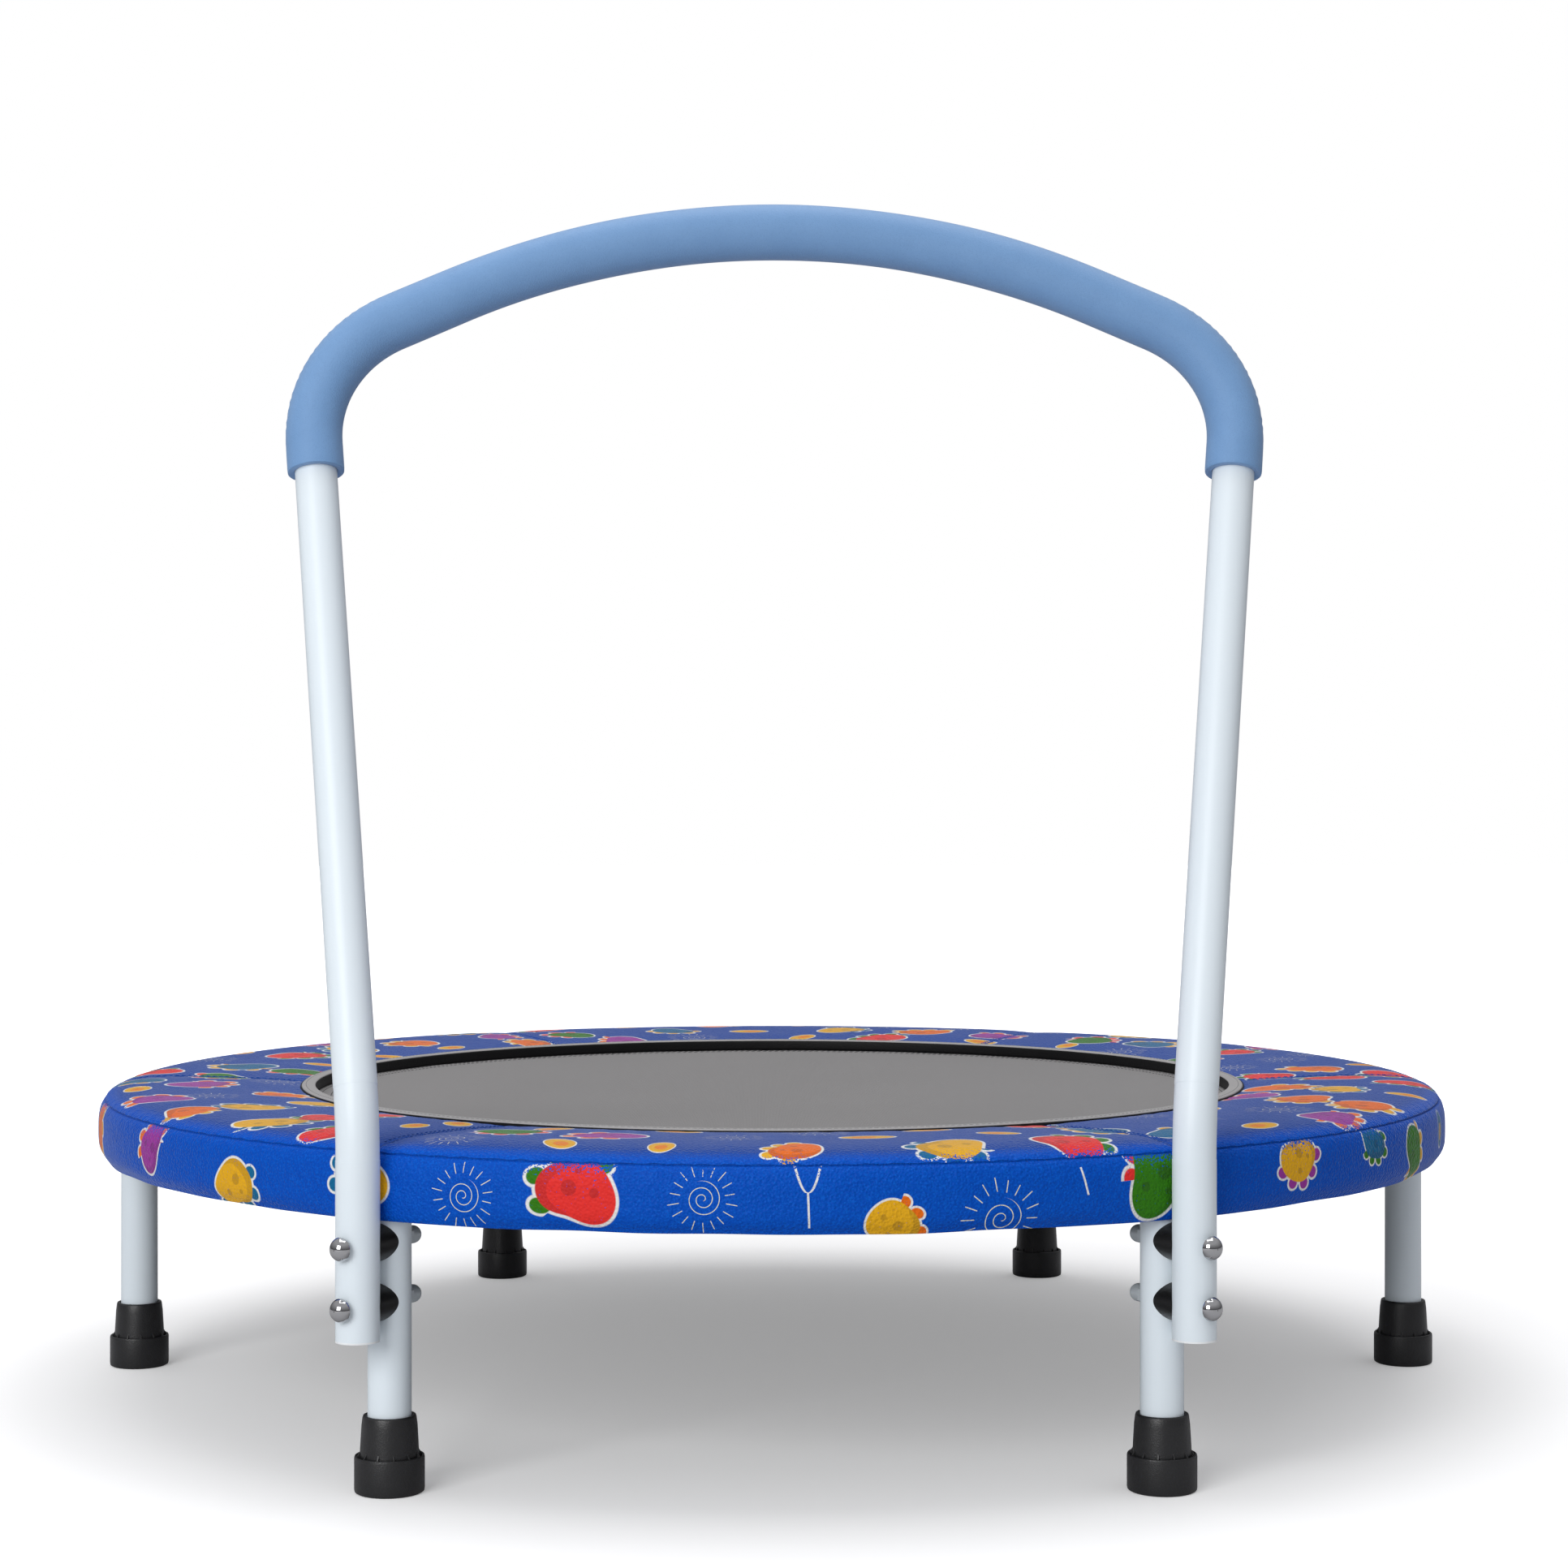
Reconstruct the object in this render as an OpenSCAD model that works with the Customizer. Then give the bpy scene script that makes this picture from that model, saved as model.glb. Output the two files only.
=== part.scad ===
// Mini trampoline for a child: a round tube frame on six legs, a sprung jumping mat,
// a padded cover over the springs and a leaning grab handle bolted to the two front legs.
// Millimetres, +Z up. The origin is on the floor under the centre of the mat, and the
// handle stands on the -Y side.

/* [Frame] */
// Radius of the circle that the frame tube and the legs are centred on
frame_r = 440; // [434:1:446]
// Height of the frame tube's centre above the floor
frame_z = 178; // [174:1:190]
// Outer diameter of the frame, leg and handle tubes
tube_d = 25; // [24.6:0.1:25]
// Wall of the steel tubes
tube_wall = 1.2; // [1:0.1:1.5]

/* [Handle] */
// Distance from a front leg's centre to the handle post's centre
post_offset = 29.5; // [29.2:0.1:33]
// Height of the open lower end of each post
post_low_z = 91; // [80:1:95]
// Height at which the posts start to lean
bend_z = 190; // [185:1:200]
// How far the upper handle leans towards the mat, in degrees
lean = 16; // [10:1:20]
// How far each post spreads sideways, in degrees
flare = 5.7; // [3:0.1:8]
// Length of the straight leaning part of each post
post_run = 390; // [350:5:420]
// Centreline radius of the upper corners
corner_r = 78; // [65:1:90]
// Length of the straight shoulder between the corner and the crown
shoulder_run = 41; // [20:1:50]
// Slope of the shoulder, which the crown's arc starts from, in degrees
shoulder_slope = 25; // [20:1:30]
// Outer diameter of the foam grip
grip_d = 34; // [31:0.5:38]

/* [Mat and springs] */
// Radius of the jumping mat
mat_r = 332; // [328:1:334]
// Number of springs, a multiple of six
spring_count = 30; // [18:6:36]
// Outer diameter of a spring's coil
coil_d = 8; // [7:0.5:8]
// Diameter of the spring wire
spring_wire = 1.8; // [1.6:0.1:2]

/* [Padded cover] */
// Outer radius of the padded cover
pad_r = 456.2; // [456:0.1:456.4]
// Radius of the opening in the cover
opening_r = 314; // [312:1:316]
// Height of the cover's rolled lower hem
hem_z = 157; // [154:1:160]

/* [Feet] */
// Outer diameter of the rubber foot
foot_d = 40; // [38:0.5:44]
// Height of the rubber foot
foot_h = 44; // [40:1:50]

/* [Hidden] */
$fn = 96;
white = [0.88, 0.93, 0.98];
blue = [0.05, 0.27, 0.66];
tube_r = tube_d / 2;
bore_r = tube_r - tube_wall;
play = 0.05; // radial play of plugs and feet on their tubes
lap = 1.5; // how far a straight stretch of tube runs over the start of the next bend
lap_play = 0.16; // how much thinner the bend's wall is, on each face

// Leg angles about +Z, counted from +X
leg_angles = [0, 60, 120, 180, 240, 300];
front_left = 240;
front_right = 300;
leg_low_z = 6;
leg_top_z = frame_z - tube_r - 3;
stud_r = 5;
stud_low_z = leg_top_z - 13.5;

// Bolts that hold the handle
bolt_heights = [frame_z - 34.5, frame_z - 68.5]; // upper and lower
bolt_r = 3;
bolt_hole_r = 3.3;
head_r = 6.75;
head_h = 5.5;
collar_r = 3.9; // the collar under a bolt's head
collar_h = 3.2;
nut_flats = 11;
nut_h = 3.2;
nut_dome_r = 5.2;
nut_cap_h = 6.5; // straight part of a cap nut beyond its flats
spacer_r = 11;

// Handle bar: the post rises, bends through lean and flare at once, then the upper bar
// lies in one plane that leans by lean
post_r = frame_r + post_offset;
post_x = post_r * cos(front_right);
post_y = post_r * sin(front_right);
bend_r = 150;
bend_turn = acos(cos(flare) * cos(lean));
bend_heading = atan2(cos(flare) * sin(lean), sin(flare));
bend_reach = bend_r * (1 - cos(bend_turn));
bend_end = [
    post_x + bend_reach * cos(bend_heading),
    post_y + bend_reach * sin(bend_heading),
    bend_z + bend_r * sin(bend_turn)
];
corner_turn = 90 - shoulder_slope + flare;
shoulder_end_x = bend_end.x + post_run * sin(flare)
    + corner_r * (sin(shoulder_slope) - cos(flare)) - shoulder_run * cos(shoulder_slope);
crown_r = shoulder_end_x / sin(shoulder_slope);
grip_start = post_run - 19;
grip_bore_r = tube_r + 0.2;
plug_flange = 1;

// Springs: the outer hook drops through a hole in the upper inner side of the frame tube
spring_step = 360 / spring_count;
hole_slope = 35;
hole_r = 2.5;
hook_r = 7;
hook_turn = 80;
hole_at = [frame_r - tube_r * cos(hole_slope), frame_z + tube_r * sin(hole_slope)];
hook_start_r = hole_at.x - hook_r * sin(hole_slope);
spring_z = hole_at.y + hook_r * (1 - cos(hole_slope));
wire_r = spring_wire / 2;
coil_r = coil_d / 2;
coil_bore_r = coil_r - 1.3;
coil_out_r = hook_start_r - 6;

// Wire triangles and the webbing loops that hold them, from the mat's edge outwards
ring_wire_r = 1.3;
ring_base_r = mat_r + 5.5;
ring_depth = 13.5;
ring_half_base = 11;
ring_half_tip = 2.5;
ring_fillet = 2.2;
ring_tip_r = ring_base_r + ring_depth;
eye_r = 3.3;
eye_at = ring_tip_r + 0.6;
coil_in_r = eye_at + eye_r + 2.5;
webbing = 1.6;
webbing_w = 30;
loop_w = 13;
loop_bore_r = 1.8;
loop_r = loop_bore_r + webbing - 0.2;
loop_tail = 19.5;
mat_low_z = spring_z + webbing * 1.5;
mat_t = 1.8;

// Padded cover
pad_low_z = frame_z + tube_r + 0.9;
lining = 0.6;
skin = 0.8;
binding = 2.4; // thickness of the binding's inner wall
binding_w = 9;
binding_t = 1.2;
binding_clear = 0.45; // from the inner edge of the cover up to the binding
pad_in_r = opening_r + binding;
pad_edge_z = pad_low_z + 6.4;
pad_crown = 2.4;
shoulder_r = 10;
wall_in_r = frame_r + tube_r + 0.7;
hem_r = (pad_r - wall_in_r) / 2;
seam_gap = 0.3; // half of the gap between two foam segments, in degrees
strap_w = 20;
strap_t = 1.4;
strap_clear = 0.7;
strap_out_r = wall_in_r - 0.2;
strap_offset = 12; // degrees from a leg to the straps on each side of it

// Rubber foot
foot_r = foot_d / 2;
foot_ring_h = foot_h * 0.48;
foot_lip = 1.6;
foot_moat_z = foot_ring_h - 6;
foot_neck_r = 15;
foot_waist_r = foot_r - 2.8;
foot_ribs = 8;
rib_w = 1.2;
rib_h = 5;

// ---------- Shared shapes ----------

// Turns its children about +Z and moves them out along their own +X
module at_polar(angle, r, z) {
    rotate([0, 0, angle]) translate([r, 0, z]) children();
}

// Straight rod along +Z, with its children at the far end
module run(length, r) {
    cylinder(h = length, r = r);
    translate([0, 0, length]) children();
}

// Straight tube along +Z that laps over the thinner bends before and after it
module pipe_run(length, r, bore) {
    translate([0, 0, -lap]) difference() {
        cylinder(h = length + 2 * lap, r = r);
        translate([0, 0, -1]) cylinder(h = length + 2 * lap + 2, r = bore);
    }
    translate([0, 0, length]) children();
}

// Rod, or thinner tube between straight stretches, that starts along +Z and bends towards
// +X, with its children at the far end
module bend(radius, turn, r, bore = 0) {
    thinner = bore > 0 ? lap_play : 0;
    translate([radius, 0, 0]) rotate([90, 0, 0]) rotate([0, 0, 180 - turn])
        rotate_extrude(angle = turn) translate([radius, 0]) difference() {
            circle(r = r - thinner);
            if (bore > 0) circle(r = bore + thinner);
        }
    translate([radius, 0, 0]) rotate([0, turn, 0]) translate([-radius, 0, 0]) children();
}

// A profile drawn as [distance from the axis, height], extruded across the radial plane
module radial_slice(angle, width) {
    rotate([0, 0, angle]) rotate([90, 0, 0])
        linear_extrude(height = width, center = true) children();
}

module at_springs() {
    for (i = [0:spring_count - 1]) rotate([0, 0, (i + 0.5) * spring_step]) children();
}

module at_bolt(angle, z) {
    at_polar(angle, 0, z) rotate([0, 90, 0]) children();
}

// ---------- Frame ----------

// The frame tube: one welded hoop, hollow, with a hole for each spring hook
module frame_ring() {
    color(white) difference() {
        translate([0, 0, frame_z]) rotate_extrude() translate([frame_r, 0]) difference() {
            circle(r = tube_r);
            circle(r = bore_r);
        }
        at_springs() translate([frame_r, 0, frame_z]) rotate([0, hole_slope - 90, 0])
            translate([0, 0, bore_r - 2]) cylinder(h = 6, r = hole_r);
    }
}

// Six threaded studs on saddle collars, welded under the hoop
module leg_studs() {
    for (angle = leg_angles) color("silver") difference() {
        at_polar(angle, frame_r, stud_low_z) {
            cylinder(h = leg_top_z - stud_low_z + 1, r = stud_r);
            translate([0, 0, leg_top_z - stud_low_z]) cylinder(h = 6.5, r = tube_r - 0.2);
        }
        translate([0, 0, frame_z]) rotate_extrude() translate([frame_r, 0]) circle(r = tube_r);
    }
}

module leg(angle) {
    color(white) difference() {
        at_polar(angle, frame_r, leg_low_z) difference() {
            cylinder(h = leg_top_z - leg_low_z, r = tube_r);
            translate([0, 0, -1]) cylinder(h = leg_top_z, r = bore_r);
        }
        if (angle == front_left || angle == front_right)
            for (z = bolt_heights) at_bolt(angle, z)
                translate([0, 0, frame_r - 20]) cylinder(h = 40, r = bolt_hole_r);
    }
}

// Threaded plugs pressed into the tops of the legs
module leg_inserts() {
    for (angle = leg_angles) color("gray") at_polar(angle, frame_r, stud_low_z) difference() {
        cylinder(h = leg_top_z - stud_low_z, r = bore_r - play);
        translate([0, 0, -1]) cylinder(h = 20, r = stud_r + 0.1);
    }
}

module foot(angle) {
    color([0.08, 0.08, 0.08]) at_polar(angle, frame_r, 0) {
        difference() {
            union() {
                rotate_extrude() polygon([
                    [0, 0], [foot_r - 1, 0], [foot_r, 1], [foot_r, foot_ring_h],
                    [foot_r - foot_lip, foot_ring_h], [foot_r - foot_lip, foot_moat_z],
                    [foot_waist_r, foot_moat_z], [foot_waist_r, foot_ring_h],
                    [foot_neck_r, foot_h], [0, foot_h]
                ]);
                for (i = [0:foot_ribs - 1]) radial_slice(i * 360 / foot_ribs, rib_w) polygon([
                    [foot_waist_r - 3, foot_moat_z - 1], [foot_r - foot_lip + 0.5, foot_moat_z - 1],
                    [foot_r - foot_lip + 0.5, foot_ring_h - 0.6],
                    [foot_waist_r - 3, foot_ring_h + rib_h + 5]
                ]);
            }
            translate([0, 0, leg_low_z]) cylinder(h = foot_h, r = tube_r + play);
        }
    }
}

// ---------- Handle ----------

// Right-hand post up to the end of its bend
module lower_bar(r, bore) {
    translate([post_x, post_y, post_low_z + lap]) pipe_run(bend_z - post_low_z - lap, r, bore)
        rotate([0, 0, bend_heading]) bend(bend_r, bend_turn, r, bore);
}

// Right-hand upper bar, from a distance along the leaning run to the end of the shoulder
module upper_bar(start, r, bore) {
    translate(bend_end) rotate([-lean, 0, 0]) rotate([0, flare, 0]) rotate([0, 0, 180])
        translate([0, 0, start]) pipe_run(post_run - start, r, bore)
            bend(corner_r, corner_turn, r, bore) pipe_run(shoulder_run, r, bore) children();
}

// Both upper bars, joined by the crown's arc
module upper_arch(start, r, bore) {
    upper_bar(start, r, bore) bend(crown_r, 2 * shoulder_slope, r, bore);
    mirror([1, 0, 0]) upper_bar(start, r, bore);
}

module handle_tube() {
    color(white) difference() {
        union() {
            lower_bar(tube_r, bore_r);
            mirror([1, 0, 0]) lower_bar(tube_r, bore_r);
            upper_arch(0, tube_r, bore_r);
        }
        for (angle = [front_left, front_right], z = bolt_heights) at_bolt(angle, z)
            translate([0, 0, post_r - 20]) cylinder(h = 40, r = bolt_hole_r);
    }
}

module handle_grip() {
    color([0.36, 0.56, 0.81]) upper_arch(grip_start, grip_d / 2, grip_bore_r);
}

// Cup-shaped plastic plug in the lower end of a post
module post_plug(angle) {
    color("white") at_polar(angle, post_r, post_low_z) difference() {
        union() {
            translate([0, 0, -plug_flange]) cylinder(h = plug_flange, r = tube_r);
            cylinder(h = 12, r = bore_r - play);
        }
        cylinder(h = 13, r = bore_r - 2);
    }
}

// Plastic spacer hollowed on both ends to seat against the leg and the post
module spacer(angle, z) {
    color([0.06, 0.06, 0.06]) difference() {
        at_bolt(angle, z) translate([0, 0, frame_r]) cylinder(h = post_offset, r = spacer_r);
        at_bolt(angle, z) translate([0, 0, frame_r]) cylinder(h = post_offset, r = bolt_hole_r);
        for (r = [frame_r, post_r]) at_polar(angle, r, z - 20) cylinder(h = 40, r = tube_r + play);
    }
}

// Domed bolt: the collar under its head bears on the outer side of the post
module bolt(angle, z) {
    seat = post_r + tube_r;
    dome_r = (pow(head_r, 2) + pow(head_h, 2)) / (2 * head_h);
    color("silver") at_bolt(angle, z) {
        translate([0, 0, frame_r - tube_r - 5]) cylinder(h = post_offset + tube_d + 6, r = bolt_r);
        translate([0, 0, seat]) cylinder(h = collar_h + 0.5, r = collar_r);
        translate([0, 0, seat + collar_h]) intersection() {
            translate([0, 0, head_h - dome_r]) sphere(r = dome_r);
            cylinder(h = head_h + 1, r = head_r + 1);
        }
    }
}

// Domed cap nut on the inner side of the leg
module cap_nut(angle, z) {
    seat = frame_r - tube_r;
    color("lightgray") difference() {
        at_bolt(angle, z) {
            translate([0, 0, seat - nut_h]) cylinder(h = nut_h, r = nut_flats / sqrt(3), $fn = 6);
            translate([0, 0, seat - nut_h - nut_cap_h + 0.5]) cylinder(h = nut_cap_h, r = nut_dome_r);
            translate([0, 0, seat - nut_h - nut_cap_h + 0.5]) intersection() {
                sphere(r = nut_dome_r);
                translate([0, 0, -2 * nut_dome_r]) cylinder(h = 2 * nut_dome_r, r = nut_dome_r + 1);
            }
        }
        at_bolt(angle, z) translate([0, 0, seat - 5.2]) cylinder(h = 6, r = bolt_r + play);
    }
}

// ---------- Mat and springs ----------

module jump_mat() {
    color([0.5, 0.49, 0.5]) translate([0, 0, mat_low_z]) cylinder(h = mat_t, r = mat_r, $fn = 180);
}

// Webbing band sewn under the rim of the mat
module mat_webbing() {
    color([0.12, 0.12, 0.13]) translate([0, 0, mat_low_z - webbing]) difference() {
        cylinder(h = webbing, r = mat_r, $fn = 180);
        translate([0, 0, -1]) cylinder(h = webbing + 2, r = mat_r - webbing_w, $fn = 180);
    }
}

// Short webbing loops sewn under the band, each round the base of one wire triangle
module ring_loops() {
    at_springs() color([0.1, 0.1, 0.11]) radial_slice(0, loop_w) difference() {
        union() {
            translate([ring_base_r, spring_z]) circle(r = loop_r);
            translate([ring_base_r - loop_tail, spring_z - webbing / 2]) square([loop_tail, webbing]);
        }
        translate([ring_base_r, spring_z]) circle(r = loop_bore_r);
    }
}

// One closed wire triangle with a blunt tip, lying flat, its tip outwards
module spring_ring() {
    base_turn = 90 + atan2(ring_half_base - ring_half_tip, ring_depth);
    tip_turn = 180 - base_turn;
    base_cut = ring_fillet * tan(base_turn / 2);
    tip_cut = ring_fillet * tan(tip_turn / 2);
    side = norm([ring_depth, ring_half_base - ring_half_tip]) - base_cut - tip_cut;
    translate([ring_base_r, -ring_half_base + base_cut, spring_z]) rotate([-90, 0, 0])
        run(2 * (ring_half_base - base_cut), ring_wire_r)
        bend(ring_fillet, base_turn, ring_wire_r)
        run(side, ring_wire_r)
        bend(ring_fillet, tip_turn, ring_wire_r)
        run(2 * (ring_half_tip - tip_cut), ring_wire_r)
        bend(ring_fillet, tip_turn, ring_wire_r)
        run(side, ring_wire_r)
        bend(ring_fillet, base_turn, ring_wire_r);
}

module spring_rings() {
    at_springs() color("silver") spring_ring();
}

// One extension spring: a tube of the coil's outer size, an eye round the triangle's tip
// and a hook into the frame tube
module spring() {
    translate([coil_in_r, 0, spring_z]) rotate([0, 90, 0]) difference() {
        cylinder(h = coil_out_r - coil_in_r, r = coil_r);
        translate([0, 0, -1]) cylinder(h = coil_out_r - coil_in_r + 2, r = coil_bore_r);
    }
    for (r = [coil_in_r + wire_r, coil_out_r - wire_r])
        translate([r, 0, spring_z - coil_r + 0.6]) cylinder(h = coil_d - 1.2, r = wire_r + 0.15);
    translate([eye_at + eye_r - 0.4, 0, spring_z]) rotate([0, 90, 0])
        cylinder(h = coil_in_r + wire_r - eye_at - eye_r + 0.4, r = wire_r - 0.15);
    translate([eye_at, 0, spring_z]) rotate([90, 0, 0]) rotate([0, 0, -20])
        rotate_extrude(angle = 320) translate([eye_r, 0]) circle(r = wire_r);
    translate([coil_out_r - wire_r, 0, spring_z]) rotate([0, 90, 0])
        cylinder(h = hook_start_r - coil_out_r + wire_r + 0.4, r = wire_r - 0.15);
    translate([hook_start_r, 0, spring_z]) rotate([0, 90, 0]) bend(hook_r, hook_turn, wire_r);
}

module springs() {
    at_springs() color("silver") spring();
}

// ---------- Padded cover ----------

// Outer outline of the cover, drawn in by a depth, as [distance from the axis, height]
function crown_z(r) = pad_edge_z
    + pad_crown * sin(180 * (r - pad_in_r) / (pad_r - shoulder_r - pad_in_r));
function pad_outline(depth) = concat(
    [for (i = [0:12]) let (r = pad_in_r + i / 12 * (pad_r - shoulder_r - pad_in_r)) [r, crown_z(r) - depth]],
    [for (a = [75:-15:0])
        [pad_r - shoulder_r + (shoulder_r - depth) * cos(a), pad_edge_z - shoulder_r + (shoulder_r - depth) * sin(a)]],
    [[pad_r - depth, hem_z + hem_r]]
);
function hem_outline() = [
    for (a = [-15:-15:-180]) [pad_r - hem_r + hem_r * cos(a), hem_z + hem_r + hem_r * sin(a)]
];
function reversed(list) = [for (i = [len(list) - 1:-1:0]) list[i]];

// Printed vinyl skin: the top panels and the side band, as one thin wall
module pad_cover() {
    color(blue) rotate_extrude($fn = 180)
        polygon(concat(pad_outline(0), hem_outline(), reversed(pad_outline(skin))));
}

// One of the six foam segments: a slab over the springs, folded down inside the side band
module pad_foam(angle) {
    color([0.93, 0.93, 0.88]) rotate([0, 0, angle + seam_gap]) rotate_extrude(angle = 60 - 2 * seam_gap, $fn = 180)
        polygon(concat(pad_outline(skin), [
            [wall_in_r, hem_z + hem_r], [wall_in_r, pad_low_z + lining], [pad_in_r, pad_low_z + lining]
        ]));
}

// Lining under the foam
module pad_lining() {
    color([0.1, 0.1, 0.12]) translate([0, 0, pad_low_z]) difference() {
        cylinder(h = lining, r = wall_in_r, $fn = 180);
        translate([0, 0, -1]) cylinder(h = lining + 2, r = opening_r + binding_w + 0.2, $fn = 180);
    }
}

// Channel-shaped binding round the opening, over the inner edge of the cover
module pad_binding() {
    low = pad_low_z - 0.3;
    top = pad_edge_z + binding_t + binding_clear;
    color([0.45, 0.44, 0.44]) rotate_extrude($fn = 180) polygon([
        [opening_r, low], [opening_r + binding_w, low], [opening_r + binding_w, pad_low_z + lining],
        [pad_in_r - 0.1, pad_low_z + lining], [pad_in_r - 0.1, top - binding_t],
        [opening_r + binding_w, top - binding_t], [opening_r + binding_w, top], [opening_r, top]
    ]);
}

// Elastic straps from the side band, under the frame tube, to the underside of the cover
module pad_strap(angle) {
    in_r = tube_r + strap_clear;
    out_r = in_r + strap_t;
    color([0.08, 0.08, 0.08]) radial_slice(angle, strap_w) {
        difference() {
            translate([frame_r, frame_z]) circle(r = out_r);
            translate([frame_r, frame_z]) circle(r = in_r);
            translate([frame_r - out_r - 1, frame_z]) square([2 * out_r + 2, out_r + 1]);
            polygon([
                [frame_r, frame_z], [frame_r + 3 * out_r * cos(-42), frame_z + 3 * out_r * sin(-42)],
                [frame_r + 3 * out_r, frame_z + 1]
            ]);
        }
        translate([frame_r - out_r, frame_z]) square([strap_t, pad_low_z - frame_z]);
        polygon([
            [frame_r + in_r * cos(-44), frame_z + in_r * sin(-44)], [strap_out_r, frame_z - in_r + 3.5],
            [strap_out_r, hem_z + hem_r], [strap_out_r - strap_t, hem_z + hem_r],
            [strap_out_r - strap_t, frame_z - in_r + 2], [frame_r + out_r * cos(-46), frame_z + out_r * sin(-46)]
        ]);
    }
}

module pad_straps() {
    for (angle = leg_angles, side = [-1, 1]) pad_strap(angle + side * strap_offset);
}

// ---------- Nodes ----------

frame_ring();
leg_studs();
leg(0);  // leg_right
leg(60);  // leg_back_right
leg(120);  // leg_back_left
leg(180);  // leg_left
leg(front_left);  // leg_front_left
leg(front_right);  // leg_front_right
leg_inserts();
foot(0);  // foot_right
foot(60);  // foot_back_right
foot(120);  // foot_back_left
foot(180);  // foot_left
foot(front_left);  // foot_front_left
foot(front_right);  // foot_front_right
handle_tube();
handle_grip();
post_plug(front_left);  // post_plug_left
post_plug(front_right);  // post_plug_right
spacer(front_left, bolt_heights[0]);  // spacer_left_upper
spacer(front_left, bolt_heights[1]);  // spacer_left_lower
spacer(front_right, bolt_heights[0]);  // spacer_right_upper
spacer(front_right, bolt_heights[1]);  // spacer_right_lower
bolt(front_left, bolt_heights[0]);  // bolt_left_upper
bolt(front_left, bolt_heights[1]);  // bolt_left_lower
bolt(front_right, bolt_heights[0]);  // bolt_right_upper
bolt(front_right, bolt_heights[1]);  // bolt_right_lower
cap_nut(front_left, bolt_heights[0]);  // nut_left_upper
cap_nut(front_left, bolt_heights[1]);  // nut_left_lower
cap_nut(front_right, bolt_heights[0]);  // nut_right_upper
cap_nut(front_right, bolt_heights[1]);  // nut_right_lower
jump_mat();
mat_webbing();
ring_loops();
spring_rings();
springs();
pad_cover();
pad_lining();
pad_binding();
pad_foam(0);  // pad_foam_back_right
pad_foam(60);  // pad_foam_back
pad_foam(120);  // pad_foam_back_left
pad_foam(180);  // pad_foam_front_left
pad_foam(240);  // pad_foam_front
pad_foam(300);  // pad_foam_front_right
pad_straps();
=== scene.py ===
"""A round children's trampoline: printed padded cover, sprung mat, tube legs and a grab handle."""
import math
import random

import bmesh
import bpy
import numpy as np
from mathutils import Matrix, Vector


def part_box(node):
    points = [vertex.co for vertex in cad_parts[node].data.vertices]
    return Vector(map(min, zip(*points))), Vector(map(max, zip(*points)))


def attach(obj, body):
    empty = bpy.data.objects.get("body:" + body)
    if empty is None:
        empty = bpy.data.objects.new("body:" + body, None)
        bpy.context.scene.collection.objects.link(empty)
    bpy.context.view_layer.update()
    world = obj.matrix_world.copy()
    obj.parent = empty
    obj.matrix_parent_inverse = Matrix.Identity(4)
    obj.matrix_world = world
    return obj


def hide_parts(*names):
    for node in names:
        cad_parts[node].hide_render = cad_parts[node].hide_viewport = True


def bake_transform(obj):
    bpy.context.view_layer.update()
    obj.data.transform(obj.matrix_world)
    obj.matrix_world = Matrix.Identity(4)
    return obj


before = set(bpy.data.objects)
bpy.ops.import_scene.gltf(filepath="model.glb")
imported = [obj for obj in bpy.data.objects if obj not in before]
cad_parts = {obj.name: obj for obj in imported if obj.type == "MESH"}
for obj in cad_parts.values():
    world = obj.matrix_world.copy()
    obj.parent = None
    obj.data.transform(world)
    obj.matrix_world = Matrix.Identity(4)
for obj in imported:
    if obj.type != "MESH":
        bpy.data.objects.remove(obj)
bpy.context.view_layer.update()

MM = 0.001
TAU = 2 * math.pi
FRAME_BODY = "frame"
MAT_BODY = "mat"

# ---------------------------------------------------------------- sizes read from the frame

hoop_low, hoop_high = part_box("frame_ring")
TUBE_R = (hoop_high[2] - hoop_low[2]) / 2
HOOP_R = hoop_high[0] - TUBE_R
cover_low, cover_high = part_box("pad_cover")
COVER_R = cover_high[0]
HEM_Z = cover_low[2]
LINING_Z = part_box("pad_lining")[0][2]
binding_low, binding_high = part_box("pad_binding")
BINDING_OUT = binding_high[0]
BINDING_WIDTH = 9 * MM
OPENING_R = BINDING_OUT - BINDING_WIDTH
TRIM_TOP = binding_high[2] - 0.4 * MM
mat_low, mat_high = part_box("jump_mat")
MAT_R = mat_high[0]
webbing_low, webbing_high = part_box("mat_webbing")
triangle_low, triangle_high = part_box("spring_rings")
WIRE_Z = (triangle_low[2] + triangle_high[2]) / 2
foot_low, foot_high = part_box("foot_right")
FOOT_R = (foot_high[0] - foot_low[0]) / 2
FOOT_H = foot_high[2]
grip_low, grip_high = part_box("handle_grip")

LEG_ANGLES = [0, 60, 120, 180, 240, 300]
SPRINGS = 30
SPRING_STEP = 360 / SPRINGS

# ---------------------------------------------------------------- meshes


def finish_mesh(mesh, smooth=True):
    mesh.validate()
    mesh.polygons.foreach_set("use_smooth", [smooth] * len(mesh.polygons))
    mesh.update()
    return mesh


def new_piece(name, mesh, materials):
    piece = bpy.data.objects.new(name, mesh)
    bpy.context.scene.collection.objects.link(piece)
    mesh.materials.clear()
    for material in materials:
        mesh.materials.append(material)
    return piece


def outwards(mesh):
    """Merges doubles and points every face of a closed shell outwards."""
    work = bmesh.new()
    work.from_mesh(mesh)
    bmesh.ops.remove_doubles(work, verts=work.verts, dist=1e-6)
    bmesh.ops.recalc_face_normals(work, faces=work.faces)
    work.to_mesh(mesh)
    work.free()
    return mesh


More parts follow.
